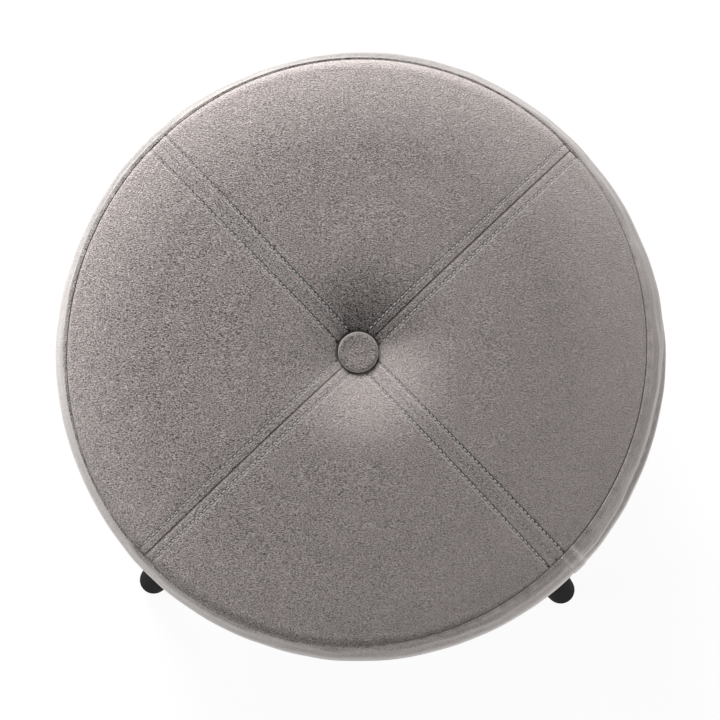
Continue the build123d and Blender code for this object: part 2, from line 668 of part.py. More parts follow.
def button_cap(radius, thickness):
    """A flat-faced cap on the dimple's seat, lower than the button by as much as it is narrower."""
    shortfall = BUTTON_RADIUS - radius
    top = TUFT_HEIGHT + BUTTON_HEIGHT - shortfall
    edge = BUTTON_ROUND - shortfall
    hollow = radius - thickness
    hollow_top = top - thickness
    with BuildPart() as cap:
        with BuildSketch(Plane.XZ):
            with BuildLine():
                face = FilletPolyline((0, top), (radius, top), (radius, TUFT_HEIGHT), radius=edge)
                back = FilletPolyline(
                    (0, hollow_top),
                    (hollow, hollow_top),
                    (hollow, TUFT_HEIGHT),
                    radius=edge - thickness,
                )
                Line(face @ 0, back @ 0)
                Line(face @ 1, back @ 1)
            make_face()
        revolve(axis=Axis.Z)
    return cap.part


SHELL_RADIUS = BUTTON_RADIUS - BUTTON_CLOTH - BUTTON_FIT
BACK_RADIUS = SHELL_RADIUS - BUTTON_SHEET - BUTTON_FIT
EYE_HEIGHT = TUFT_HEIGHT - EYE_RADIUS
TWINE_TOP = EYE_HEIGHT - EYE_RADIUS + EYE_WIRE_RADIUS + TWINE_RADIUS + BUTTON_FIT
ANCHOR_BOTTOM = LID_BOARD_BOTTOM - ANCHOR_THICKNESS
TWINE_BOTTOM = ANCHOR_BOTTOM - TWINE_BEND

with BuildPart() as button_cover:
    add(button_cap(BUTTON_RADIUS, BUTTON_CLOTH))
button_cover.part.label = "button_cover"
export_step(button_cover.part, "parts/button_cover.step")

with BuildPart() as button_shell:
    add(button_cap(SHELL_RADIUS, BUTTON_SHEET))
button_shell.part.label = "button_shell"
export_step(button_shell.part, "parts/button_shell.step")

with BuildPart() as button_back:
    with BuildSketch(Plane.XY.offset(TUFT_HEIGHT)):
        Circle(BACK_RADIUS)
    extrude(amount=BACK_THICKNESS)
    with BuildLine(Plane.YZ) as eye_line:
        first = Line((-EYE_RADIUS, TUFT_HEIGHT), (-EYE_RADIUS, EYE_HEIGHT))
        left = JernArc(first @ 1, first % 1, EYE_RADIUS, 90)
        right = JernArc(left @ 1, left % 1, EYE_RADIUS, 90)
        Line(right @ 1, (EYE_RADIUS, TUFT_HEIGHT))
    with BuildSketch(Plane(origin=eye_line.wire() @ 0, z_dir=eye_line.wire() % 0)):
        Circle(EYE_WIRE_RADIUS)
    sweep(path=eye_line.wire())
button_back.part.label = "button_back"
export_step(button_back.part, "parts/button_back.step")

# The twine loops through the eye, down through the foam and board, and is tied off under the anchor
with BuildPart() as twine_anchor:
    with BuildSketch(Plane.XY.offset(ANCHOR_BOTTOM)):
        Circle(ANCHOR_RADIUS)
        with GridLocations(TWINE_SPREAD, 0, 2, 1):
            Circle(TWINE_RADIUS + BUTTON_FIT, mode=Mode.SUBTRACT)
    extrude(amount=ANCHOR_THICKNESS)
twine_anchor.part.label = "twine_anchor"
export_step(twine_anchor.part, "parts/twine_anchor.step")

with BuildPart() as button_twine:
    with BuildLine(Plane.XZ) as loop:
        FilletPolyline(
            (-TWINE_SPREAD / 2, TWINE_BOTTOM),
            (-TWINE_SPREAD / 2, TWINE_TOP),
            (TWINE_SPREAD / 2, TWINE_TOP),
            (TWINE_SPREAD / 2, TWINE_BOTTOM),
            close=True,
            radius=TWINE_BEND,
        )
    with BuildSketch(Plane(origin=loop.wire() @ 0, z_dir=loop.wire() % 0)):
        Circle(TWINE_RADIUS)
    sweep(path=loop.wire())
button_twine.part.label = "button_twine"
export_step(button_twine.part, "parts/button_twine.step")
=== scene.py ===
import bmesh
import bpy
import numpy as np
from mathutils import Matrix, Vector


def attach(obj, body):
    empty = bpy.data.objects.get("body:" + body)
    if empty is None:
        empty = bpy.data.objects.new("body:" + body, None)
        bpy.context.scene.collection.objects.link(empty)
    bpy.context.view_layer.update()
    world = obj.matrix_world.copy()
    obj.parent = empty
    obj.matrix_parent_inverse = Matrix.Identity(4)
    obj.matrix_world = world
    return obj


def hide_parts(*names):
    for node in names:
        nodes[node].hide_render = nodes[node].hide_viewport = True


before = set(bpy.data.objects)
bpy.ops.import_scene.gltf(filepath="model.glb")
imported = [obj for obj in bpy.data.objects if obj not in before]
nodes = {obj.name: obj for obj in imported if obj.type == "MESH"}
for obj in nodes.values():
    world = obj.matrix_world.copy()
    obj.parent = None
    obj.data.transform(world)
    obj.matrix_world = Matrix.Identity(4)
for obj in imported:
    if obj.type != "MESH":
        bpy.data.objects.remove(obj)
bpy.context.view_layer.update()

# The set: a white floor that keeps a soft shadow, a broad lamp behind, and weaker ones at the front right and
# the left. The camera stands four metres above the lid, a little in front of it and to its right, and is
# turned slightly.
scene = bpy.context.scene
CAMERA_AIM = Vector((0.0011, -0.0036, 0.388))
CAMERA_OFFSET = Vector((0.033, -0.214, 4.0))
CAMERA_TURN = np.radians(1.4)
CAMERA_LENS = 282.2
FLOOR_REACH = 20.0
FILL_LIGHT = 0.38
LAMP_AIM = Vector((0, 0, 0.42))
# Name, bearing and elevation in degrees, distance and width in metres, power in watts
LAMPS = (
    ("main_lamp", 108.0, 30.0, 2.2, 1.25, 58.0),
    ("side_lamp", -38.0, 18.0, 2.6, 2.0, 26.0),
    ("left_lamp", 184.0, 9.0, 2.4, 1.4, 30.0),
)


class Shade:
    """One output of a shader node. Operators with numbers and other outputs add Math nodes."""

    def __init__(self, tree, socket=None):
        self.tree = tree
        self.socket = socket

    def node(self, kind, settings=None, inputs=None, output=0):
        """Add any other node: its settings first, then a value or a link for each of its inputs."""
        made = self.tree.nodes.new(kind)
        for name, value in (settings or {}).items():
            setattr(made, name, value)
        for name, value in (inputs or {}).items():
            if isinstance(value, Shade):
                self.tree.links.new(value.socket, made.inputs[name])
            else:
                made.inputs[name].default_value = value
        return Shade(self.tree, made.outputs[output] if made.outputs else None)

    def beside(self, output):
        """Another output of the same node."""
        return Shade(self.tree, self.socket.node.outputs[output])

    def maths(self, operation, left, right=0.0):
        """Add a Math node."""
        return self.node("ShaderNodeMath", {"operation": operation}, {0: left, 1: right})

    def __add__(self, other):
        return self.maths("ADD", self, other)

    def __radd__(self, other):
        return self.maths("ADD", other, self)

    def __sub__(self, other):
        return self.maths("SUBTRACT", self, other)

    def __rsub__(self, other):
        return self.maths("SUBTRACT", other, self)

    def __mul__(self, other):
        return self.maths("MULTIPLY", self, other)

    def __rmul__(self, other):
        return self.maths("MULTIPLY", other, self)


def new_material(name):
    """An empty material, and the Shade that adds nodes to it."""
    material = bpy.data.materials.new(name)
    material.use_nodes = True
    material.node_tree.nodes.clear()
    return material, Shade(material.node_tree)


def background_ray(shade):
    """1 for the rays that see the background: straight from the camera, by reflection or through glass."""
    path = shade.node("ShaderNodeLightPath", output="Is Camera Ray")
    return path + path.beside("Is Glossy Ray") + path.beside("Is Transmission Ray")


def put_object(name, data):
    """A new object of the scene, at the origin."""
    thing = bpy.data.objects.new(name, data)
    scene.collection.objects.link(thing)
    return thing


floor_corners = [(x * FLOOR_REACH, y * FLOOR_REACH, 0) for x, y in ((-1, -1), (1, -1), (1, 1), (-1, 1))]
floor_mesh = bpy.data.meshes.new("floor")
floor_mesh.from_pydata(floor_corners, [], [(0, 1, 2, 3)])
floor = put_object("floor", floor_mesh)
floor_paint, shade = new_material("floor_paint")
matt = shade.node("ShaderNodeBsdfDiffuse", inputs={"Color": (0.85, 0.85, 0.85, 1)})
shadowed = shade.node("ShaderNodeBsdfDiffuse", inputs={"Color": (0.13, 0.13, 0.13, 1)})
glow = shade.node("ShaderNodeEmission", inputs={"Strength": 0.9})
seen = shade.node("ShaderNodeAddShader", inputs={0: shadowed, 1: glow})
both = shade.node("ShaderNodeMixShader", inputs={0: background_ray(shade), 1: matt, 2: seen})
shade.node("ShaderNodeOutputMaterial", inputs={"Surface": both})
floor_mesh.materials.append(floor_paint)

world = bpy.data.worlds.new("studio")
scene.world = world
world.use_nodes = True
world.node_tree.nodes.clear()
shade = Shade(world.node_tree)
strength = FILL_LIGHT + (1 - FILL_LIGHT) * background_ray(shade)
fill = shade.node("ShaderNodeBackground", inputs={"Strength": strength})
shade.node("ShaderNodeOutputWorld", inputs={"Surface": fill})

for name, bearing, elevation, distance, width, power in LAMPS:
    lamp_data = bpy.data.lights.new(name, "AREA")
    lamp_data.shape = "DISK"
    lamp_data.size = width
    lamp_data.energy = power
    lamp = put_object(name, lamp_data)
    bearing, elevation = np.radians(bearing), np.radians(elevation)
    flat = np.cos(elevation)
    to_lamp = Vector((np.cos(bearing) * flat, np.sin(bearing) * flat, np.sin(elevation)))
    lamp.rotation_euler = to_lamp.to_track_quat("Z", "Y").to_euler()
    lamp.location = LAMP_AIM + distance * to_lamp

camera_data = bpy.data.cameras.new("camera")
camera_data.lens = CAMERA_LENS
camera = put_object("camera", camera_data)
scene.camera = camera
backward = CAMERA_OFFSET.normalized()
right = Vector((-np.sin(CAMERA_TURN), np.cos(CAMERA_TURN), 0)).cross(backward).normalized()
upward = backward.cross(right)
camera_axes = Matrix((right, upward, backward)).transposed().to_4x4()
camera.matrix_world = Matrix.Translation(CAMERA_AIM + CAMERA_OFFSET) @ camera_axes
scene.view_settings.view_transform = "Standard"


# Plywood frame: round base board, rim ring, six posts, and the lid's board and plug.
# Birch plywood, sawn to shape and sanded, with plies that show on the cut edges.
def dress(material, *names):
    """Put a material on nodes of the frame."""
    for name in names:
        nodes[name].data.materials.clear()
        nodes[name].data.materials.append(material)


def numbered(name, count):
    """The names of like pieces, numbered from one."""
    return [f"{name}_{number}" for number in range(1, count + 1)]


def new_surface(name):
    """An empty material, its Shade, and the place on the object as coordinates."""
    material, shade = new_material(name)
    return material, shade, shade.node("ShaderNodeTexCoord", output="Object")


def stretched(shade, place, scale):
    """Coordinates scaled by a number for each axis."""
    return shade.node("ShaderNodeMapping", inputs={"Vector": place, "Scale": scale})


def noise(shade, place, scale, detail, **more):
    """Soft random spots from 0 to 1; scale says how many fit in a unit of the coordinates."""
    inputs = {"Vector": place, "Scale": scale, "Detail": detail, **more}
    return shade.node("ShaderNodeTexNoise", inputs=inputs)


def bands(shade, place, direction, scale, distortion=0.0):
    """Even waves from 0 to 1 along a direction."""
    inputs = {"Vector": place, "Scale": scale, "Distortion": distortion}
    return shade.node("ShaderNodeTexWave", {"bands_direction": direction}, inputs, output="Fac")


def blend(shade, share, dark, light, **settings):
    """The colour at a share of the way from a dark one to a light one."""
    inputs = {0: share, 6: (*dark, 1), 7: (*light, 1)}
    return shade.node("ShaderNodeMix", {"data_type": "RGBA", **settings}, inputs, output=2)


def bump(shade, strength, distance, height):
    """Normals tilted by a height from 0 to 1 that stands for a distance."""
    return shade.node("ShaderNodeBump", inputs={"Strength": strength, "Distance": distance, "Height": height})


def coat(shade, inputs):
    """Finish a material with one Principled shader."""
    skin = shade.node("ShaderNodeBsdfPrincipled", inputs=inputs)
    shade.node("ShaderNodeOutputMaterial", inputs={"Surface": skin})


plywood, shade, place = new_surface("plywood")
grain = noise(shade, stretched(shade, place, (7, 110, 60)), 1.0, 6.0)
plies = bands(shade, place, "Z", 105.0, 0.4)
wood_colour = blend(shade, 0.7 * grain + 0.3 * plies, (0.30, 0.19, 0.10), (0.68, 0.52, 0.34))
wood_bump = bump(shade, 0.25, 0.0004, grain)
coat(shade, {"Base Color": wood_colour, "Roughness": 0.55 + 0.2 * grain, "Normal": wood_bump})
dress(plywood, "base_board", "rim_ring", "lid_board", "lid_plug", *numbered("post", 6))


# Zinc-plated steel: the frame's and the plug's screws, the staples, and the button's pressed shell and back.
# Bright plating, dulled in small patches by handling.
zinc, shade, place = new_surface("zinc_plating")
spangle = noise(shade, place, 420.0, 3.0)
zinc_colour = blend(shade, spangle, (0.42, 0.42, 0.43), (0.72, 0.72, 0.70))
coat(shade, {"Base Color": zinc_colour, "Metallic": 1.0, "Roughness": 0.24 + 0.25 * spangle})
dress(zinc, "frame_screws", "plug_screws", "dust_cover_staples", "lid_staples", "button_shell", "button_back")


# Bent wall of the drum: thin brown hardboard, wrapped round the boards with its ends meeting at the back.
# Pressed wood fibre, smooth and dark, with fine flecks.
hardboard, shade, place = new_surface("hardboard")
fibre = noise(shade, place, 650.0, 5.0, Roughness=0.7)
fibre_colour = blend(shade, fibre, (0.10, 0.055, 0.03), (0.30, 0.18, 0.10))
fibre_bump = bump(shade, 0.2, 0.0002, fibre)
coat(shade, {"Base Color": fibre_colour, "Roughness": 0.5 + 0.2 * fibre, "Normal": fibre_bump})
dress(hardboard, "wall_panel")


# Storage liners: a round floor and a rolled wall of grey lined board, dropped in inside the ring of posts.
# Millboard faced with finely flecked paper.
liner_board, shade, place = new_surface("liner_board")
flecks = noise(shade, place, 900.0, 4.0)
clouding = noise(shade, place, 14.0, 3.0)
board_colour = blend(shade, 0.6 * flecks + 0.4 * clouding, (0.055, 0.052, 0.05), (0.15, 0.143, 0.138))
board_bump = bump(shade, 0.3, 0.0002, flecks)
coat(shade, {"Base Color": board_colour, "Roughness": 0.75 + 0.2 * flecks, "Normal": board_bump})
dress(liner_board, "floor_liner", "storage_liner")


# Drum cover: two velvet halves over the foam wrap, sewn together upright at each side.
# The cloth is stapled under the base, drawn up over the rim and tucked down inside it.
COVER_THICKNESS = 0.0015
COVER_RADIUS, COVER_BOTTOM, COVER_TOP = 0.2111, 0.1635, 0.3565
COVER_HEM_RADIUS = 0.140
TUCK_RADIUS, TUCK_BOTTOM = 0.1773, 0.327
COVER_FACE = (
    (COVER_HEM_RADIUS, COVER_BOTTOM),
    (COVER_RADIUS, COVER_BOTTOM),
    (COVER_RADIUS, COVER_TOP),
    (TUCK_RADIUS, COVER_TOP),
    (TUCK_RADIUS, TUCK_BOTTOM),
)
COVER_ROUNDS = (0.005, 0.009, 0.0035)
BASE_BOTTOM, RIM_TOP = 0.165, 0.355
COVER_ARM = 0.211  # turns an angle into a distance round the side
SIDE_FROM, SIDE_FULL = 0.200, 0.211  # radii where the swell of the side sets in and is whole
COVER_SWELL = 0.0022
SEAM_PINCH, PINCH_WIDTH = 0.0013, 0.0016
SEAM_DIP, DIP_WIDTH = 0.0009, 0.007
EDGE_PUCKER = 0.0005
COVER_WAVE = 0.0006
CREPE_SCALE = (880, 1420, 1130)
VELVET_DARK, VELVET_LIGHT = (0.095, 0.083, 0.080), (0.365, 0.325, 0.314)
PILE_SIDE_COLOUR = (0.80, 0.765, 0.745, 1)
SHEEN_TINT = (0.97, 0.94, 0.92, 1)


def ramp(value, zero, one):
    """A straight rise from 0 at one value to 1 at another, level beyond both."""
    return np.clip((value - zero) / (one - zero), 0, 1)


def bell(distance, width):
    """A smooth hump: the exponential of minus the square of distance over width."""
    return np.exp(-((distance / width) ** 2))


def step_down(distance, width):
    """A smooth step from 1 to 0: one over one plus the exponential of distance over width."""
    return 1 / (1 + np.exp(np.clip(distance / width, -40, 40)))


def ripple(angle, seed, slowest, fastest):
    """A smooth uneven wave round the circle: sines of whole frequencies, with seeded sizes and phases."""
    random = np.random.default_rng(seed)
    frequency = np.arange(slowest, fastest + 1)
    size = random.normal(size=frequency.size) / np.sqrt(frequency.size)
    phase = random.uniform(0, 2 * np.pi, frequency.size)
    return (size * np.sin(frequency * np.asarray(angle)[..., None] + phase)).sum(axis=-1)


def run_along(line):
    """The distance along a polyline to each of its points."""
    return np.concatenate([[0], np.cumsum(np.linalg.norm(np.diff(line, axis=0), axis=1))])


def rounded_line(corners, rounds, count):
    """A polyline with an arc at each inner corner, as points at even steps along it.

    Each arc touches both runs: it starts and ends its radius times tan(half the turn) from the corner.
    """
    corners = np.asarray(corners, float)
    points = [corners[:1]]
    for corner, before, after, radius in zip(corners[1:-1], corners, corners[2:], rounds):
        into = (corner - before) / np.linalg.norm(corner - before)
        out = (after - corner) / np.linalg.norm(after - corner)
        turn = np.arctan2(into[0] * out[1] - into[1] * out[0], into @ out)
        reach = radius * abs(np.tan(turn / 2))
        steps = np.linspace(0, turn, 13)[:, None]
        inside = np.sign(turn) * np.array([-into[1], into[0]])
        centre = corner - into * reach + inside * radius
        points.append(centre + radius * (into * np.sin(np.abs(steps)) - inside * np.cos(steps)))
    line = np.concatenate([*points, corners[-1:]])
    run = run_along(line)
    even = np.linspace(0, 1, count) * run[-1]
    return np.stack([np.interp(even, run, line[:, axis]) for axis in (0, 1)], axis=1)


def line_normals(line):
    """The unit normals of a polyline in the (radius, height) plane, to the right of its direction."""
    slope = np.gradient(line, axis=0)
    slope /= np.linalg.norm(slope, axis=1)[:, None]
    return np.stack([slope[:, 1], -slope[:, 0]], axis=1)


def turned(radius, height, angle):
    """Points at radii and heights, turned to angles about the upright axis."""
    return np.stack([radius * np.cos(angle), radius * np.sin(angle), height + 0 * angle], axis=-1)


def put_mesh(name, points, faces):
    """A smooth mesh object at the origin from arrays of points and four-cornered faces, facing outwards."""
    mesh = bpy.data.meshes.new(name)
    mesh.vertices.add(len(points))
    mesh.vertices.foreach_set("co", points.astype(np.float32).ravel())
    mesh.loops.add(faces.size)
    mesh.loops.foreach_set("vertex_index", faces.astype(np.int32).ravel())
    mesh.polygons.add(len(faces))
    mesh.polygons.foreach_set("loop_start", np.arange(0, faces.size, 4, dtype=np.int32))
    mesh.update(calc_edges=True)
    made = bmesh.new()
    made.from_mesh(mesh)
    bmesh.ops.recalc_face_normals(made, faces=made.faces)
    made.to_mesh(mesh)
    made.free()
    mesh.polygons.foreach_set("use_smooth", np.ones(len(faces), bool))
    return put_object(name, mesh)


def grid_faces(rows, columns, rows_close=False, columns_close=False):
    """The four-cornered faces of a grid of points numbered row by row; either axis may close on itself."""
    row, column = np.meshgrid(
        np.arange(rows if rows_close else rows - 1),
        np.arange(columns if columns_close else columns - 1),
        indexing="ij",
    )
    here, below = row * columns, (row + 1) % rows * columns
    beyond = (column + 1) % columns
    return np.stack([here + column, below + column, below + beyond, here + beyond], axis=-1).reshape(-1, 4)


def sewn_shell(name, face, back):
    """A closed mesh from two grids of points: face outside, back inside, and strips that join their edges."""
    rows, columns = face.shape[:2]
    shift = rows * columns
    number = np.arange(shift).reshape(rows, columns)
    outer = grid_faces(rows, columns)
    faces = [outer, outer[:, ::-1] + shift]
    for path in (number[::-1, 0], number[:, -1], number[0], number[-1, ::-1]):
        first, second = path[:-1], path[1:]
        faces.append(np.stack([first, second, second + shift, first + shift], axis=-1))
    points = np.concatenate([face.reshape(-1, 3), back.reshape(-1, 3)])
    return put_mesh(name, points, np.concatenate(faces))


def velvet_material(name, sewing=None):
    """Short-pile velvet: a fine crepe of pile ends, soft patches of lighter and darker pile, and sheen at
    grazing angles.

    An attribute of the pieces holds painted light and shade, how much paler or darker the colour is made, and
    sewing gives painted shade and highlights along the seams.
    Painted light: the crepe's contrast is made stronger on the left and at the back, where the light rakes
    across it.
    """
    material, shade, place = new_surface(name)
    x = shade.node("ShaderNodeSeparateXYZ", inputs={"Vector": place})
    # Painted light: the crepe's contrast grows towards the left and the back, where the light rakes across it
    raking_light_contrast = 1.07 - 2.8 * x + 0.7 * x.beside("Y")
    pile = noise(shade, stretched(shade, place, CREPE_SCALE), 1.0, 1.0, Distortion=0.2)
    patch = noise(shade, place, 30.0, 4.0, Roughness=0.6, Distortion=0.8)
    shift = noise(shade, place, 7.0, 2.0)
    # Painted light and shade, stored on the pieces as an attribute
    painted_light = shade.node("ShaderNodeAttribute", {"attribute_name": "painted_light"}, output="Fac")
    tone = 2.9 * raking_light_contrast * (pile - 0.5) + 0.2 * patch + 0.2 * shift + 0.5 * painted_light + 0.37
    if sewing is not None:
        # Painted shade and highlights along the seams, where given
        tone = tone - sewing(shade, place)
    colour = blend(shade, tone, VELVET_DARK, VELVET_LIGHT, clamp_factor=False, clamp_result=True)
    skin = shade.node(
        "ShaderNodeBsdfPrincipled",
        inputs={
            "Base Color": colour,
            "Roughness": 0.8 + 0.15 * pile,
            "Specular IOR Level": 0.15,
            "Sheen Weight": 0.4,
            "Sheen Roughness": 0.4,
            "Sheen Tint": SHEEN_TINT,
            "Normal": bump(shade, 1.0, 0.0018, pile + 0.1 * patch),
        },
    )
    edge_on = shade.node("ShaderNodeLayerWeight", inputs={"Blend": 0.5}, output="Facing")
    pile_side = shade.node("ShaderNodeBsdfDiffuse", inputs={"Color": PILE_SIDE_COLOUR})
    sheen = 0.9 * shade.maths("POWER", edge_on, 3.0)
    cloth = shade.node("ShaderNodeMixShader", inputs={0: sheen, 1: skin, 2: pile_side})
    shade.node("ShaderNodeOutputMaterial", inputs={"Surface": cloth})
    return material


velvet = velvet_material("velvet")
cover_line = rounded_line(COVER_FACE, COVER_ROUNDS, 150)
cover_back_line = cover_line - COVER_THICKNESS * line_normals(cover_line)
up_side = ramp(cover_line[:, 1], BASE_BOTTOM, RIM_TOP)
on_side = ramp(cover_line[:, 0], SIDE_FROM, SIDE_FULL)
swell = COVER_SWELL * np.sin(np.pi * up_side) ** 0.7 * on_side
for half, start in (("front", 180), ("back", 0)):
    angle = np.radians(start + np.linspace(0, 180, 241))[:, None]
    from_seam = COVER_ARM * np.minimum(angle - angle[0], angle[-1] - angle)
    tuck = SEAM_PINCH * bell(from_seam, PINCH_WIDTH) + SEAM_DIP * bell(from_seam, DIP_WIDTH)
    pucker = EDGE_PUCKER * ripple(angle, 4, 9, 40) * (1 - np.sin(np.pi * up_side))
    wave = COVER_WAVE * ripple(angle, 5, 3, 9)
    bulge = swell + (pucker + wave - tuck) * on_side
    face = turned(cover_line[:, 0] + bulge, cover_line[:, 1], angle)
    back = turned(cover_back_line[:, 0] + bulge, cover_back_line[:, 1], angle)
    drum_cover = sewn_shell(f"drum_velvet_{half}", face, back)
    drum_cover.data.materials.append(velvet)
    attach(drum_cover, "drum")
    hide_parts(f"drum_cover_{half}", *(["drum_padding"] if half == "front" else []))


# Dust cover: a disc of thin black bonded cloth under the base, held by a ring of staples.
# The edge lies flat on the velvet hem, and the middle hangs a little between the staples.
DUST_RADIUS = 0.202
DUST_TOP = 0.16335
DUST_THICKNESS = 0.0004
DUST_SLACK, DUST_SAG = 0.0007, 0.0008
DUST_HELD, DUST_FREE = 0.66, 0.46  # shares of the radius
DUST_STAPLES = 32
STAPLE_PUCKER, PUCKERS_FROM = 0.00012, 0.75


def round_grid(count):
    """A square grid pressed into the unit disc, as radii and angles: each square ring becomes a circle."""
    across = np.linspace(-1, 1, count)
    x, y = np.meshgrid(across, across, indexing="ij")
    wide = np.abs(x) >= np.abs(y)
    reach = np.where(wide, x, y)
    turn = np.pi / 4 * np.where(wide, y, x) / np.where(reach == 0, 1, reach)
    main, other = reach * np.cos(turn), reach * np.sin(turn)
    x, y = np.where(wide, main, other), np.where(wide, other, main)
    return np.hypot(x, y), np.arctan2(y, x)


spread, bearing = round_grid(121)
free = ramp(spread, DUST_HELD, DUST_FREE)
slack = DUST_SLACK * free * ripple(bearing, 8, 2, 7) * spread - DUST_SAG * free**2
puckers = STAPLE_PUCKER * np.cos(DUST_STAPLES * bearing) * ramp(spread, PUCKERS_FROM, 1)
dust_face = turned(DUST_RADIUS * spread, DUST_TOP + slack + puckers, bearing)
dust_cover = sewn_shell("dust_cloth", dust_face, dust_face - np.array([0, 0, DUST_THICKNESS]))
black_cloth, shade, place = new_surface("black_bonded_cloth")
web = noise(shade, place, 480.0, 6.0, Roughness=0.75)
dots = shade.node("ShaderNodeTexVoronoi", inputs={"Vector": place, "Scale": 620.0})
cloth_colour = blend(shade, web, (0.008, 0.008, 0.009), (0.045, 0.045, 0.048))
cloth_bump = bump(shade, 0.4, 0.0002, web + 0.5 * dots)
coat(shade, {"Base Color": cloth_colour, "Roughness": 0.8 + 0.15 * web, "Normal": cloth_bump})
dust_cover.data.materials.append(black_cloth)
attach(dust_cover, "drum")
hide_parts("dust_cover")


# Leg plates, their screws and the hanger bolts: pressed and turned steel.
# Black powder coat with a fine pebble, and the same black on the bolts and screws.
black_steel, shade, place = new_surface("black_powder_coat")
pebble = noise(shade, place, 1100.0, 2.0)
rubbed = noise(shade, place, 90.0, 5.0)
steel_colour = blend(shade, rubbed, (0.010, 0.010, 0.011), (0.035, 0.035, 0.037))
steel_bump = bump(shade, 0.35, 0.0001, pebble)
steel_roughness = 0.42 + 0.2 * rubbed
coat(shade, {"Base Color": steel_colour, "Metallic": 0.2, "Roughness": steel_roughness, "Normal": steel_bump})
dress(black_steel, "leg_plate_screws", *numbered("leg_plate", 4), *numbered("leg_bolt", 4))


# Legs: four turned and tapered beech legs, splayed, screwed onto the plates by their hanger bolts.
# Black lacquer of very low gloss, with a trace of the grain under it.
black_lacquer, shade, place = new_surface("black_lacquer")
grain = noise(shade, stretched(shade, place, (420, 420, 24)), 1.0, 4.0)
dusting = noise(shade, place, 60.0, 4.0)
lacquer_colour = blend(shade, 0.6 * grain + 0.4 * dusting, (0.008, 0.008, 0.0085), (0.028, 0.0275, 0.029))
coat(shade, {
    "Base Color": lacquer_colour,
    "Roughness": 0.46 + 0.16 * dusting,
    "Specular IOR Level": 0.005,
    "Normal": bump(shade, 0.08, 0.0002, grain),
})
dress(black_lacquer, *numbered("leg", 4))


# Foot glides and the twine's anchor: small moulded nylon pieces, the glides nailed into the feet.
# Matt nylon, faintly mottled, dark on the feet and natural white under the lid.
def nylon_material(name, dark, light):
    """Moulded nylon between two colours."""
    material, shade, place = new_surface(name)
    mottle = noise(shade, place, 300.0, 4.0)
    coat(shade, {"Base Color": blend(shade, mottle, dark, light), "Roughness": 0.45 + 0.2 * mottle})
    return material


dark_nylon = nylon_material("dark_nylon", (0.012, 0.012, 0.012), (0.035, 0.034, 0.033))
dress(dark_nylon, *numbered("foot_glide", 4))
white_nylon = nylon_material("white_nylon", (0.62, 0.60, 0.55), (0.78, 0.76, 0.71))
dress(white_nylon, "twine_anchor")


# Tufting twine: waxed twine that loops through the button's eye and is tied off under the anchor.
# Two strands of pale twisted flax.
twine, shade, place = new_surface("waxed_twine")
lay_of_twine = bands(shade, place, "DIAGONAL", 260.0)
twine_colour = blend(shade, lay_of_twine, (0.30, 0.24, 0.16), (0.62, 0.54, 0.42))
coat(shade, {"Base Color": twine_colour, "Roughness": 0.7})
dress(twine, "button_twine")


# Plug lining: a disc of dark grey cotton drawn over the plug's edge, so that the lid's underside is finished.
# The cloth turns in under the lid board, gathered into small folds round the rim.
LINING_RADIUS, LINING_BOTTOM = 0.1733, 0.3466
PLUG_EDGE, TURN_IN = 0.0102, 0.0208
LINING_TOP = LINING_BOTTOM + PLUG_EDGE
LINING_FACE = (
    (0.0, LINING_BOTTOM),
    (LINING_RADIUS, LINING_BOTTOM),
    (LINING_RADIUS, LINING_TOP),
    (LINING_RADIUS - TURN_IN, LINING_TOP),
)
LINING_ROUNDS = (0.002, 0.0012)
LINING_THICKNESS = 0.0005
GATHER_DEPTH = 0.0004
GATHER_FROM, GATHER_FULL = 0.8, 0.95  # shares of the line


def at_shares(line, shares):
    """The two coordinates of an evenly stepped line at shares of its length."""
    steps = np.linspace(0, 1, len(line))
    return np.interp(shares, steps, line[:, 0]), np.interp(shares, steps, line[:, 1])


lining_line = rounded_line(LINING_FACE, LINING_ROUNDS, 90)
spread, bearing = round_grid(161)
lining_radius, lining_height = at_shares(lining_line, spread)
folds = GATHER_DEPTH * ramp(spread, GATHER_FROM, GATHER_FULL) * np.maximum(ripple(bearing, 11, 30, 60), -0.5)
lining_radius = lining_radius - np.abs(folds)
lining_out, lining_up = at_shares(LINING_THICKNESS * line_normals(lining_line), spread)
lining_face = turned(lining_radius, lining_height, bearing)
lining_back = turned(lining_radius - lining_out, lining_height - lining_up, bearing)
lining = sewn_shell("plug_lining", lining_face, lining_back)
cotton, shade, place = new_surface("grey_cotton")
weave = 0.5 * bands(shade, place, "X", 310.0, 0.6) + 0.5 * bands(shade, place, "Y", 310.0, 0.6)
slub = noise(shade, place, 160.0, 5.0)
cotton_colour = blend(shade, 0.6 * weave + 0.4 * slub, (0.035, 0.033, 0.032), (0.13, 0.123, 0.12))
cotton_bump = bump(shade, 0.3, 0.0002, weave)
coat(shade, {"Base Color": cotton_colour, "Roughness": 0.8 + 0.1 * slub, "Normal": cotton_bump})
lining.data.materials.append(cotton)
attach(lining, "lid")
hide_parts("lid_lining")


# Lid cushion: foam under four velvet quarter panels, sewn along two diagonals and drawn down by one button.
# Each seam has a row of topstitching on both sides, and the panels swell between the seams.
SEAM_RADIUS, SEAM_HEIGHT = 0.208, 0.4188
CREST_RADIUS, CREST_HEIGHT = 0.085, 0.4368
SEAT_RADIUS, SEAT_HEIGHT = 0.0153, 0.4178
SEAT_LEDGE = 0.0008
DIMPLE_DEPTH, DIMPLE_REACH = 0.0150, 0.025
ROLL_BEND = 0.011
ROLL_SLOPE = np.radians(61.1)
TWINE_HOLE = 0.0055
FOAM_BOTTOM = 0.3703
FOAM_RADIUS = 0.2075


def arc(start, slope, radius, turn, count):
    """Points of an arc from a start and a slope, and the slope at its end; a negative turn bends down."""
    steps = slope + np.linspace(0, turn, count)[1:]
    bend = radius * np.sign(turn)
    points = start + bend * np.stack([np.sin(steps) - np.sin(slope), np.cos(slope) - np.cos(steps)], axis=1)
    return points, slope + turn


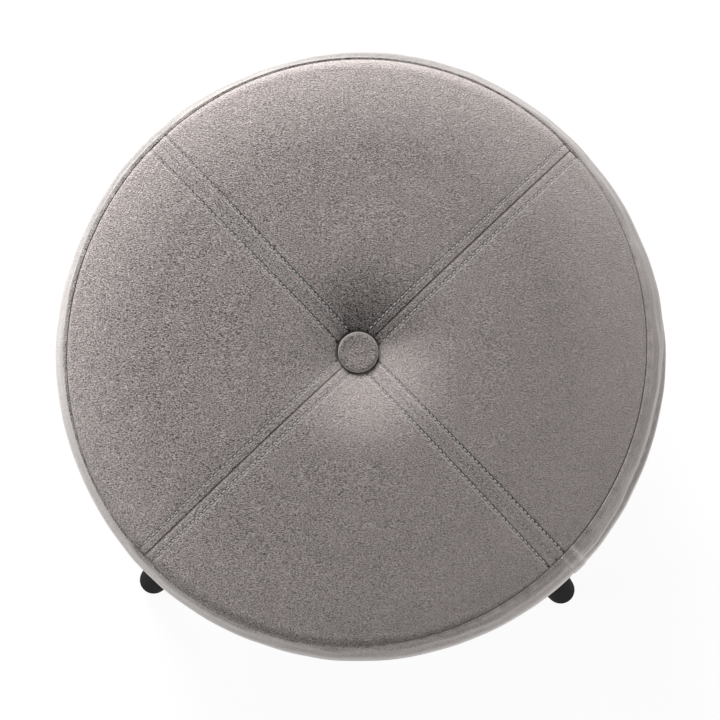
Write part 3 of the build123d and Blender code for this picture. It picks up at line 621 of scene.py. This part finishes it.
def crown_profile():
    """The top's line from the twine hole to the seam: seat, dimple, wide crown arc and roll-off.

    The dimple falls from the crest by an exponential of the distance from the button, eased at the crest.
    """
    away = np.linspace(0, CREST_RADIUS - SEAT_RADIUS, 120)
    ease = (1 - (away / away[-1]) ** 2) ** 2
    dimple = CREST_HEIGHT - DIMPLE_DEPTH * np.exp(-away / DIMPLE_REACH) * ease
    crown_reach = SEAM_RADIUS - CREST_RADIUS - ROLL_BEND * np.sin(ROLL_SLOPE)
    crown_drop = CREST_HEIGHT - SEAM_HEIGHT - ROLL_BEND * (1 - np.cos(ROLL_SLOPE))
    crown_turn = 2 * np.arctan(crown_drop / crown_reach)
    crown_bend = crown_reach / np.sin(crown_turn) + ROLL_BEND
    seat = [[TWINE_HOLE, SEAT_HEIGHT], [SEAT_RADIUS - SEAT_LEDGE, SEAT_HEIGHT]]
    line = np.concatenate([seat, np.stack([SEAT_RADIUS + away, dimple], axis=1)])
    slope = 0.0
    for bend, turn in ((crown_bend, -crown_turn), (ROLL_BEND, crown_turn - ROLL_SLOPE)):
        points, slope = arc(line[-1], slope, bend, turn, 60)
        line = np.concatenate([line, points])
    return line


crown = crown_profile()
crown_run = run_along(crown)
crown_up = -line_normals(crown)
rim = crown_run[-1]


def on_crown(run, angle):
    """Points on the smooth top at a run from the twine hole and an angle, their unit normals and radii."""
    radius, height = (np.interp(run, crown_run, crown[:, axis]) for axis in (0, 1))
    out, up = (np.interp(run, crown_run, crown_up[:, axis]) for axis in (0, 1))
    return turned(radius, height, angle), turned(out, up, angle), radius


def across_seam(radius, angle):
    """Signed distance from the nearest diagonal seam, and the number of that seam from the back right one."""
    number = np.floor((angle - np.pi / 4) / (np.pi / 2) + 0.5)
    return radius * np.sin(angle - np.pi / 4 - number * np.pi / 2), number % 4


SIM_AROUND, SIM_ALONG = 256, 52
SIM_FRAMES = 20
SEAM_HOLD, EDGE_HOLD = 0.0045, 0.004
HOLD_LEVELS = 10
MOST_MOVE = 0.004
sim_run = np.linspace(crown_run[1], rim, SIM_ALONG)
sim_angle = np.pi / 4 + np.arange(SIM_AROUND) * 2 * np.pi / SIM_AROUND


def swell_panels():
    """How far the velvet moves when the panels are blown up under it, held at the seams, button and rim."""
    points, _, radius = on_crown(sim_run[None, :], sim_angle[:, None])
    faces = grid_faces(SIM_AROUND, SIM_ALONG, rows_close=True)[:, [1, 0, 3, 2]]
    sheet = put_mesh("panels_under_pressure", points.reshape(-1, 3), faces)
    held = bell(np.abs(across_seam(radius, sim_angle[:, None])[0]), SEAM_HOLD)
    held = np.maximum(held, bell(sim_run - sim_run[0], EDGE_HOLD)[None, :])
    held = np.maximum(held, bell(sim_run[-1] - sim_run, EDGE_HOLD)[None, :]).ravel()
    pins = sheet.vertex_groups.new(name="held")
    for level in range(1, HOLD_LEVELS + 1):
        chosen = np.flatnonzero((held > (level - 1) / HOLD_LEVELS) & (held <= level / HOLD_LEVELS))
        pins.add(chosen.tolist(), level / HOLD_LEVELS if level > 1 else 0.0, "REPLACE")
    cloth = sheet.modifiers.new("pressure", "CLOTH")
    cloth.settings.quality = 6
    cloth.settings.mass = 0.25
    cloth.settings.tension_stiffness = 12
    cloth.settings.compression_stiffness = 12
    cloth.settings.shear_stiffness = 8
    cloth.settings.bending_stiffness = 4
    cloth.settings.use_pressure = True
    cloth.settings.uniform_pressure_force = 9
    cloth.settings.vertex_group_mass = "held"
    cloth.settings.effector_weights.gravity = 0
    cloth.collision_settings.use_collision = False
    cloth.point_cache.frame_end = SIM_FRAMES
    for number in range(1, SIM_FRAMES + 1):
        scene.frame_set(number)
    blown = sheet.evaluated_get(bpy.context.evaluated_depsgraph_get()).data
    after = np.zeros(points.size, np.float32)
    blown.vertices.foreach_get("co", after)
    bpy.data.objects.remove(sheet)
    scene.frame_set(1)
    move = after.reshape(points.shape) - points
    for _ in range(3):
        move = (np.roll(move, 1, axis=0) + 2 * move + np.roll(move, -1, axis=0)) / 4
        move[:, 1:-1] = (move[:, :-2] + 2 * move[:, 1:-1] + move[:, 2:]) / 4
    size = np.linalg.norm(move, axis=-1, keepdims=True)
    return move * np.minimum(1, MOST_MOVE / np.maximum(size, 1e-9))


panel_move = swell_panels()


def smooth_weights(share):
    """Weights of the four grid points round a place, for a smooth cubic through the grid."""
    return (
        (-share + 2 * share**2 - share**3) / 2,
        (2 - 5 * share**2 + 3 * share**3) / 2,
        (share + 4 * share**2 - 3 * share**3) / 2,
        (-(share**2) + share**3) / 2,
    )


def moved_by_cloth(run, angle):
    """The panels' movement at any run and angle, by a smooth cubic between the simulated grid's points."""
    run, angle = np.broadcast_arrays(run, angle)
    turns = (angle - sim_angle[0]) / (2 * np.pi) * SIM_AROUND
    steps = ramp(run, sim_run[0], sim_run[-1]) * (SIM_ALONG - 1)
    first_turn = np.floor(turns).astype(int)
    first_step = np.minimum(np.floor(steps).astype(int), SIM_ALONG - 2)
    total = 0
    for turn, turn_weight in zip(range(-1, 3), smooth_weights(turns - first_turn)):
        for step, step_weight in zip(range(-1, 3), smooth_weights(steps - first_step)):
            column = np.clip(first_step + step, 0, SIM_ALONG - 1)
            move = panel_move[(first_turn + turn) % SIM_AROUND, column]
            total = total + (turn_weight * step_weight)[..., None] * move
    return total


ROW_OFFSET = 0.00635
LAPPED_FROM, LAPPED_TO = 0.02, 0.205
LAPPED_OFFSET_FROM, LAPPED_OFFSET_TO = 0.0059, 0.0074
STITCH_PITCH = 0.0038
CHANNEL_DEPTH, CHANNEL_WIDTH = 0.0009, 0.009
OPEN_FOLD, LAPPED_FOLD, FOLD_WIDTH = 0.0009, 0.0002, 0.0005
GROOVE_DEPTH, HOLE_DEPTH, GROOVE_WIDTH = 0.0004, 0.0002, 0.0008
LAYER_HEIGHT, LAYER_EDGE, LAYER_REACH = 0.0005, 0.0003, 0.017
CREASE_DEPTH, CREASE_WIDTH = 0.0006, 0.0005
PUCKER_HEIGHT, PUCKER_LENGTH, PUCKER_WIDTH, PUCKER_AWAY = 0.0002, 0.0114, 0.0032, 0.0035
SEAMS_END, SEAMS_WHOLE = 0.012, 0.022  # radii at the button
DRIFT_MEAN, DRIFT_OVAL, DRIFT_SHIFT = 0.0040, 0.0030, 0.0014
DRIFT_BEARING = np.radians(335)


def row_offset(radius, seam):
    """How far a topstitch row runs from its seam: even on one diagonal, widening to the rim on the other."""
    widening = np.interp(radius, [LAPPED_FROM, LAPPED_TO], [LAPPED_OFFSET_FROM, LAPPED_OFFSET_TO])
    return np.where(seam % 2 == 0, ROW_OFFSET, widening)


def top_surface(run, angle):
    """Points of the sewn top: the crown, the swelled panels, and what the sewing adds.

    Each seam lies in a soft channel. One diagonal is an open seam with a tight fold along it. The other is
    lapped, with the upper layer's edge along its stitch row on the back right side. Each row runs in a
    groove, small puckers lie beside the rows, and the seams fade out under the button.
    """
    points, normal, radius = on_crown(run, angle)
    points = points + moved_by_cloth(run, angle)
    offset, seam = across_seam(radius, angle)
    gap = np.abs(offset)
    lapped = seam % 2 == 1
    from_row = gap - row_offset(radius, seam)
    from_edge = np.where(seam == 1, -offset, offset) - row_offset(radius, seam)
    channel = CHANNEL_DEPTH * bell(gap, CHANNEL_WIDTH)
    fold = np.where(lapped, LAPPED_FOLD, OPEN_FOLD) * bell(gap, FOLD_WIDTH)
    at_hole = 0.5 + 0.5 * np.cos(2 * np.pi * run / STITCH_PITCH)
    groove = bell(from_row, GROOVE_WIDTH) * (GROOVE_DEPTH + HOLE_DEPTH * at_hole)
    layer = LAYER_HEIGHT * step_down(from_edge, LAYER_EDGE) * bell(np.minimum(from_edge, 0), LAYER_REACH)
    crease = CREASE_DEPTH * bell(from_edge - LAYER_EDGE, CREASE_WIDTH)
    lap = np.where(lapped, layer - crease, 0)
    uneven = 3 * ripple(angle + 9 * run, 21, 3, 8)
    puckers = PUCKER_HEIGHT * np.sin(2 * np.pi * run / PUCKER_LENGTH + uneven)
    beside_row = bell(from_row - PUCKER_AWAY, PUCKER_WIDTH)
    past_button = ramp(radius, SEAMS_END, SEAMS_WHOLE)
    lift = puckers * beside_row + past_button * (lap - channel - fold - groove)
    return points + normal * lift[..., None], normal


def seam_drift(angle):
    """How far inside the rim the seam runs: an uneven oval, furthest in at the front right."""
    turn = angle - DRIFT_BEARING
    return DRIFT_MEAN + DRIFT_OVAL * np.cos(2 * turn) + DRIFT_SHIFT * np.cos(turn)


# Points lie closer together at the seams, round the button and at the rim
QUARTER_STEPS, CROWDING = 144, 0.86
RUN_STOPS = (0, 0.0085, 0.0115, 0.040, rim - 0.030, rim - 0.004, rim)
RUN_COUNTS = (0, 4, 10, 20, 62, 16, 8)
DRIFT_REACH = 0.05
LIP_TURN = np.radians(150)
LIP_ROUND, LIP_TUCK = 0.0012, 0.0016
LIP_DROP, LIP_HANG = 0.0014, 0.0030
WALL_BULGE = 0.0055
quarter = np.arange(QUARTER_STEPS) / QUARTER_STEPS
quarter = quarter - CROWDING * np.sin(2 * np.pi * quarter) / (2 * np.pi)
top_angle = (np.pi / 4 + np.pi / 2 * (np.arange(4)[:, None] + quarter[None, :])).ravel()[:, None]
top_run = np.interp(np.arange(sum(RUN_COUNTS) + 1), np.cumsum(RUN_COUNTS), RUN_STOPS)[None, :]
top_run = top_run - seam_drift(top_angle) * ramp(top_run, rim - DRIFT_REACH, rim)
top, top_normal = top_surface(top_run, top_angle)
edge = top[:, -1:, :]
edge_radius = np.linalg.norm(edge[..., :2], axis=-1)
share = np.linspace(0, 1, 9)[1:]
lip_radius = edge_radius - LIP_ROUND * (1 - np.cos(LIP_TURN * share)) - LIP_TUCK * share
lip_height = edge[..., 2] - LIP_DROP * np.sin(LIP_TURN * share) - LIP_HANG * share
wall_radius = lip_radius[:, -1:] * (1 - share) + FOAM_RADIUS * share + WALL_BULGE * np.sin(np.pi * share)
wall_height = lip_height[:, -1:] * (1 - share) + FOAM_BOTTOM * share
base_radius = np.linspace(FOAM_RADIUS, TWINE_HOLE, 9)[None, 1:]
below_top = [
    turned(lip_radius, lip_height, top_angle),
    turned(wall_radius, wall_height, top_angle),
    turned(base_radius + 0 * top_angle, FOAM_BOTTOM + 0 * base_radius, top_angle),
]
closed_round = np.concatenate([top, *below_top], axis=1)
round_faces = grid_faces(*closed_round.shape[:2], rows_close=True, columns_close=True)
cushion = put_mesh("lid_cushion", closed_round.reshape(-1, 3), round_faces)


def set_painted_light(piece, painted_light):
    """Store painted light and shade at each point of a piece: how much paler or darker its velvet is made."""
    piece.data.attributes.new("painted_light", "FLOAT", "POINT").data.foreach_set("value", painted_light.ravel())


# Painted light and shade in the top's colour: paler where it faces the light and darker where it faces away,
# in the dimple and on the roll, and paler towards the back and left
TO_LIGHT = np.array([-0.35, 0.94, 0.0])
AWAY_FROM_SHADE = np.array([0.26, 0.97, 0.0])
DIMPLE_RIM, DIMPLE_SIDE = 0.100, 0.060
ROLL_FROM, ROLL_FULL = 0.145, 0.200
top_radius = np.interp(top_run, crown_run, crown[:, 0])
in_dimple = ramp(top_radius, DIMPLE_RIM, DIMPLE_SIDE)
on_roll = ramp(top_radius, ROLL_FROM, ROLL_FULL)
facing = top_normal @ TO_LIGHT
steepness = np.linalg.norm(top_normal[..., :2], axis=-1)
turned_away = np.minimum(top_normal @ AWAY_FROM_SHADE + 0.45 * steepness, 0)
dimple_light_and_shade = 1.15 * np.tanh(np.maximum(facing, 0) / 0.16) + 1.2 * np.tanh(turned_away / 0.18)
roll_light_and_shade = 0.60 + 4.0 * np.maximum(facing, 0) + 1.7 * np.minimum(facing, 0)
# Painted light: the top is made paler towards the back and the left
paler_to_back_left = 0.15 - 0.4 * top[..., 0] + 0.7 * top[..., 1]
top_painted_light = in_dimple * dimple_light_and_shade + on_roll * roll_light_and_shade + paler_to_back_left
below_columns = closed_round.shape[1] - top.shape[1]
set_painted_light(cushion, np.concatenate([top_painted_light, np.repeat(top_painted_light[:, -1:], below_columns, axis=1)], axis=1))

# Strengths and widths of the painted seam shade, the raised edges' painted highlights and the button's
# painted shadow
ROW_SHADE, ROW_HALF_WIDTH = 0.85, 0.0013
OPEN_SEAM_SHADE, OPEN_HALF_WIDTH = 0.62, 0.0012
MIDDLE_ROW_SHADE, MIDDLE_HALF_WIDTH = 0.80, 0.0011
LAP_EDGE_SHADOW, LAP_HALF_WIDTH = 0.60, 0.0012
INNER_ROW_SHADOW, INNER_AWAY, INNER_HALF_WIDTH = 0.45, 0.0008, 0.0011
LIP_HIGHLIGHT, LIP_AWAY, LIP_HALF_WIDTH = 0.35, 0.0016, 0.0010
BUTTON_SHADOW_RADIUS, BUTTON_SHADOW_HALF_WIDTH = 0.0146, 0.0020
DARKEST_SHADE = 0.9


def seam_shade_and_highlights(shade, place):
    """Painted shade along the seams and stitch rows and a painted shadow round the button, with a painted
    highlight on the raised edge beside most of them: narrow tents across each.

    The open seam lies on the diagonal x = y, the lapped one on x = -y. Rows are painted darker at the needle
    holes, as shade in them.
    """
    x = shade.node("ShaderNodeSeparateXYZ", inputs={"Vector": place})
    y = x.beside("Y")
    across, along = (x - y) * np.sqrt(0.5), (x + y) * np.sqrt(0.5)
    from_open = shade.maths("ABSOLUTE", across)
    from_lapped = shade.maths("ABSOLUTE", along)

    def tent(distance, half_width):
        return shade.maths("MAXIMUM", 1 - shade.maths("ABSOLUTE", distance) * (1 / half_width), 0)

    def holes(run):
        return 0.55 + 0.45 * shade.maths("COSINE", run * (2 * np.pi / STITCH_PITCH))

    def row(distance, run):
        return ROW_SHADE * tent(distance, ROW_HALF_WIDTH) * holes(run)

    def lip_highlight(distance):
        return LIP_HIGHLIGHT * tent(distance - LIP_AWAY, LIP_HALF_WIDTH)

    widening = (LAPPED_OFFSET_TO - LAPPED_OFFSET_FROM) / (LAPPED_TO - LAPPED_FROM)
    lapped_offset = LAPPED_OFFSET_FROM + (from_open - LAPPED_FROM) * widening
    open_seam_shade = OPEN_SEAM_SHADE * tent(across, OPEN_HALF_WIDTH) + row(from_open - ROW_OFFSET, from_lapped)
    open_lip_highlights = lip_highlight(across) + lip_highlight(across - ROW_OFFSET) + lip_highlight(across + ROW_OFFSET)
    lapped_seam_shade = (
        MIDDLE_ROW_SHADE * tent(along, MIDDLE_HALF_WIDTH) * holes(from_open)
        + row(from_lapped - lapped_offset, from_open)
        + LAP_EDGE_SHADOW * tent(along - lapped_offset - LAYER_EDGE, LAP_HALF_WIDTH)
        + INNER_ROW_SHADOW * tent(along + lapped_offset - INNER_AWAY, INNER_HALF_WIDTH)
    )
    lapped_lip_highlights = lip_highlight(lapped_offset - along) + lip_highlight(0 - along - lapped_offset)
    from_middle = shade.maths("SQRT", x * x + y * y)
    button_shadow = DARKEST_SHADE * tent(from_middle - BUTTON_SHADOW_RADIUS, BUTTON_SHADOW_HALF_WIDTH)
    dark = shade.maths("MINIMUM", open_seam_shade + lapped_seam_shade + button_shadow, DARKEST_SHADE)
    return dark - open_lip_highlights - lapped_lip_highlights


# The top's velvet, with painted shade and highlights along the seams
cushion.data.materials.append(velvet_material("velvet_seam_shade_and_highlights", seam_shade_and_highlights))
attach(cushion, "lid")
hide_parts("lid_foam", "lid_panel_back", "lid_panel_left", "lid_panel_front", "lid_panel_right")


# Topstitching: two rows of grey-blue thread beside each diagonal seam, a stitch about every four millimetres,
# and a finer row down the middle of the lapped one. Bonded polyester thread, pulled into the velvet.
STITCH_LENGTH = 0.0029
STITCH_BOW = 0.0006
THREAD_RADIUS = 0.00042
THREAD_SIDES, THREAD_STEPS = 6, 7
FINE_THREAD = 0.55
FIRST_STITCH, LAST_STITCH_GAP = 0.0185, 0.004
SIDES_OF_SEAM = ((-1, 1), (-1, 0, 1))


def stitch_row(seam, side):
    """The middles, directions, normals and thickness of one row's stitches, on the top's own surface."""
    bearing = np.pi / 4 + seam * np.pi / 2
    end = np.interp(rim - seam_drift(bearing) - LAST_STITCH_GAP, crown_run, crown[:, 0])
    along = np.arange(FIRST_STITCH, end, STITCH_PITCH)
    offset = side * row_offset(along, np.full(along.shape, seam))

    def on_top(distance):
        run = np.interp(np.hypot(distance, offset), crown[:, 0], crown_run)
        return top_surface(run, bearing + np.arctan2(offset, distance))

    middle, normal = on_top(along)
    ahead = on_top(along + STITCH_LENGTH / 2)[0]
    behind = on_top(along - STITCH_LENGTH / 2)[0]
    return middle, ahead - behind, normal, np.full(along.shape, 1.0 if side else FINE_THREAD)


stitch_rows = [stitch_row(seam, side) for seam in range(4) for side in SIDES_OF_SEAM[seam % 2]]
middle, direction, normal, thickness = (np.concatenate(part) for part in zip(*stitch_rows))
direction /= np.linalg.norm(direction, axis=1)[:, None]
sideways = thickness[:, None] * np.cross(normal, direction)
off_cloth = thickness[:, None] * normal
round_thread = np.linspace(0, 2 * np.pi, THREAD_SIDES + 1)[:-1, None]
down_thread = np.linspace(-1, 1, THREAD_STEPS)
girth = THREAD_RADIUS * np.sqrt(np.maximum(1 - down_thread**2, 0.02))
bow = STITCH_BOW * (1 - down_thread**2)
stitches = (
    middle[:, None, None, :]
    + direction[:, None, None, :] * (STITCH_LENGTH / 2 * down_thread)[None, None, :, None]
    + sideways[:, None, None, :] * (np.cos(round_thread) * girth)[None, :, :, None]
    + off_cloth[:, None, None, :] * (np.sin(round_thread) * girth + bow)[None, :, :, None]
)
end_faces = THREAD_STEPS * np.array([[0, 1, 2, 3], [0, 3, 4, 5]])
stitch_faces = np.concatenate([
    grid_faces(THREAD_SIDES, THREAD_STEPS, rows_close=True),
    end_faces,
    end_faces[:, ::-1] + THREAD_STEPS - 1,
])
first_points = THREAD_SIDES * THREAD_STEPS * np.arange(len(middle))
all_faces = (first_points[:, None, None] + stitch_faces[None]).reshape(-1, 4)
stitching = put_mesh("topstitching", stitches.reshape(-1, 3), all_faces)
thread, shade, place = new_surface("grey_blue_thread")
thread_colour = blend(shade, noise(shade, place, 1500.0, 2.0), (0.31, 0.32, 0.34), (0.54, 0.55, 0.57))
coat(shade, {"Base Color": thread_colour, "Roughness": 0.5})
stitching.data.materials.append(thread)
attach(stitching, "lid")


# Lid boxing: two velvet strips round the side of the cushion, joined at the front right and the back left.
# Sewn to the panels at the top, drawn over the lid board's edge and stapled under it.
BOXING_BULGE = 0.008
BOXING_BOTTOM = 0.3568
BOXING_THICKNESS = 0.0015
BOXING_ARM = 0.212  # turns an angle into a distance round the side
BOXING_JOINT = -44.0
BULGE_FROM, BULGE_FULL = 0.200, 0.206
HEM_RADIUS, HEM_START = 0.158, 0.205
UNDER_SEAM_OUT = np.array([-0.0024, -0.0006, 0.0003])
UNDER_SEAM_DOWN = np.array([0.0060, 0.0030, 0.0011])
FOLD_FROM, FOLD_TO = -46, 8
FOLD_LEVELS = (0.82, 0.70)
FOLD_SWELL, FOLD_DEPTH = 0.0009, 0.0022
FELL_WIDTH, FELL_HEIGHT = 0.011, 0.0007
JOINT_TUCK, JOINT_WIDTH, JOINT_DIP_WIDTH = 0.0003, 0.0016, 0.008
BOXING_SWAY, BOXING_PUCKER, BOXING_LEAN, BOXING_RINGS = 0.0008, 0.00045, 0.0013, 0.00035
LEAN_BEARING = np.radians(325)
half_height = (SEAM_HEIGHT - BOXING_BOTTOM) / 2
boxing_bend = (half_height**2 + BOXING_BULGE**2) / (2 * BOXING_BULGE)
rise = half_height * np.sin(np.linspace(np.pi / 2, -np.pi / 2, 70)[1:])
side_height = BOXING_BOTTOM + half_height + rise
side_radius = SEAM_RADIUS + BOXING_BULGE - boxing_bend + np.sqrt(boxing_bend**2 - rise**2)
hem_radius = np.linspace(HEM_START, HEM_RADIUS, 20)


def boxing_profile(angle):
    """Radii and heights of the strip's line at angles: under the seam, over the rim, down the side, under."""
    seam_run = rim - seam_drift(angle)
    over_run = seam_run + (rim - seam_run) * np.linspace(0, 1, 12)
    over_radius, over_height = (np.interp(over_run, crown_run, crown[:, axis]) for axis in (0, 1))
    spread = 0 * angle
    side = (spread + side_radius, spread + side_height)
    hem = (spread + hem_radius, spread + BOXING_BOTTOM + 0 * hem_radius)
    radius = [over_radius[:, :1] + UNDER_SEAM_OUT, over_radius[:, 1:], side[0], hem[0]]
    height = [over_height[:, :1] - UNDER_SEAM_DOWN, over_height[:, 1:], side[1], hem[1]]
    return np.concatenate(radius, axis=1), np.concatenate(height, axis=1)


def band_fold(angle, up_side):
    """A fold along part of the strip: drawn in along a level, swelling below it and fading at both ends."""
    share = ramp(np.degrees(angle), FOLD_FROM, FOLD_TO)
    above = up_side - np.interp(share, [0, 1], FOLD_LEVELS) - 0.03 * ripple(angle, 33, 5, 17)
    fold = FOLD_SWELL * step_down(above, 0.03) - FOLD_DEPTH * bell(above, 0.05)
    return np.sin(np.pi * share) ** 0.6 * fold


def towards(angle, bearing):
    """1 on the side at a bearing in degrees, falling to 0 a quarter turn from it: the squared cosine."""
    return np.clip(np.cos(angle - np.radians(bearing)), 0, 1) ** 2


for half, start in (("front", BOXING_JOINT - 180), ("back", BOXING_JOINT)):
    angle = np.radians(start + np.linspace(0, 180, 361))[:, None]
    from_start = BOXING_ARM * (angle - angle[0])
    near_joint = np.minimum(from_start, BOXING_ARM * (angle[-1] - angle))
    line_radius, line_height = boxing_profile(angle)
    up_side = ramp(line_height, BOXING_BOTTOM, SEAM_HEIGHT)
    on_side = ramp(line_radius, BULGE_FROM, BULGE_FULL) * ramp(up_side, 0, 0.1) * ramp(up_side, 1, 0.94)
    upper = 0.2 + 0.8 * ramp(up_side, 0.6, 0.8)
    tuck = JOINT_TUCK * (bell(near_joint, JOINT_WIDTH) + bell(near_joint, JOINT_DIP_WIDTH))
    puckers = BOXING_PUCKER * ripple(angle, 32, 14, 44) * (1 - 0.7 * np.sin(np.pi * up_side))
    sway = BOXING_SWAY * ripple(angle, 31, 2, 8) + puckers
    lean = BOXING_LEAN * np.cos(angle - LEAN_BEARING)
    rings = BOXING_RINGS * upper * np.sin(2 * np.pi * (3.2 * up_side + 0.35 * ripple(angle, 36, 2, 7)))
    flat_fell = (half == "back") * FELL_HEIGHT * step_down(from_start - FELL_WIDTH, 0.0004)
    bulge = (sway + lean + band_fold(angle, up_side) + rings + flat_fell - tuck) * on_side
    slope_radius, slope_height = np.gradient(line_radius, axis=1), np.gradient(line_height, axis=1)
    inward = BOXING_THICKNESS / np.hypot(slope_radius, slope_height)
    face = turned(line_radius + bulge, line_height, angle)
    back = turned(line_radius + bulge + inward * slope_height, line_height - inward * slope_radius, angle)
    boxing = sewn_shell(f"boxing_velvet_{half}", face, back)
    boxing.data.materials.append(velvet)
    crush_lines = np.sin(2 * np.pi * (6.5 * up_side + 0.4 * ripple(angle, 37, 2, 9)))
    streak = upper * (crush_lines + ripple(angle + 3 * up_side, 35, 40, 150))
    ridge_highlight = bell(from_start, JOINT_WIDTH) + bell(from_start - FELL_WIDTH, JOINT_WIDTH)
    outer = step_down(up_side - 0.86, 0.04)
    # Painted light and shade on the boxing, besides the streaks of crushed pile: on the left a painted sheen
    # down most of the height and painted shade just under the seam, painted shade on the upper back, a paler
    # right side, and painted highlights on the two ridges of the joint at the front right
    boxing_painted_light = 0.70 + 0.26 * streak + towards(angle, 178) * (2.1 * outer - 0.8)
    boxing_painted_light = boxing_painted_light - towards(angle, 90) * up_side + 0.5 * towards(angle, 0) + (half == "back") * 2.0 * ridge_highlight
    set_painted_light(boxing, np.tile(boxing_painted_light.ravel(), 2))
    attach(boxing, "lid")
    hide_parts(f"lid_boxing_{half}")


# Button: a pressed shell with a slightly dished face, covered in the same velvet, gathered under its edge.
# It sits in the dimple where the four panels meet, held down by the twine.
BUTTON_RADIUS, BUTTON_TOP, BUTTON_BOTTOM = 0.0143, 0.4265, 0.4200
BUTTON_TURN_IN = 0.0021
BUTTON_LINE = (
    (0.0, BUTTON_TOP),
    (BUTTON_RADIUS, BUTTON_TOP),
    (BUTTON_RADIUS, BUTTON_BOTTOM),
    (BUTTON_RADIUS - BUTTON_TURN_IN, BUTTON_BOTTOM),
)
BUTTON_ROUNDS = (0.0035, 0.0009)
BUTTON_CLOTH = 0.0008
BUTTON_DISH, DISH_RADIUS, DISH_LOWEST = 0.0013, 0.0118, 0.4222
CRINKLE_HEIGHT = 0.00012
button_line = rounded_line(BUTTON_LINE, BUTTON_ROUNDS, 60)
dished = np.clip(1 - (button_line[:, 0] / DISH_RADIUS) ** 4, 0, 1) * (button_line[:, 1] > DISH_LOWEST)
button_line[:, 1] -= BUTTON_DISH * dished
spread, bearing = round_grid(81)
crinkle = CRINKLE_HEIGHT * ramp(spread, 0.7, 0.9) * ripple(bearing, 41, 7, 19)
face_radius, face_height = at_shares(button_line, spread)
back_radius, back_height = at_shares(button_line + BUTTON_CLOTH * line_normals(button_line), spread)
button_face = turned(face_radius, face_height + crinkle, bearing)
button = sewn_shell("button_velvet", button_face, turned(back_radius, back_height, bearing))
button.data.materials.append(velvet)
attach(button, "lid")
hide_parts("button_cover")
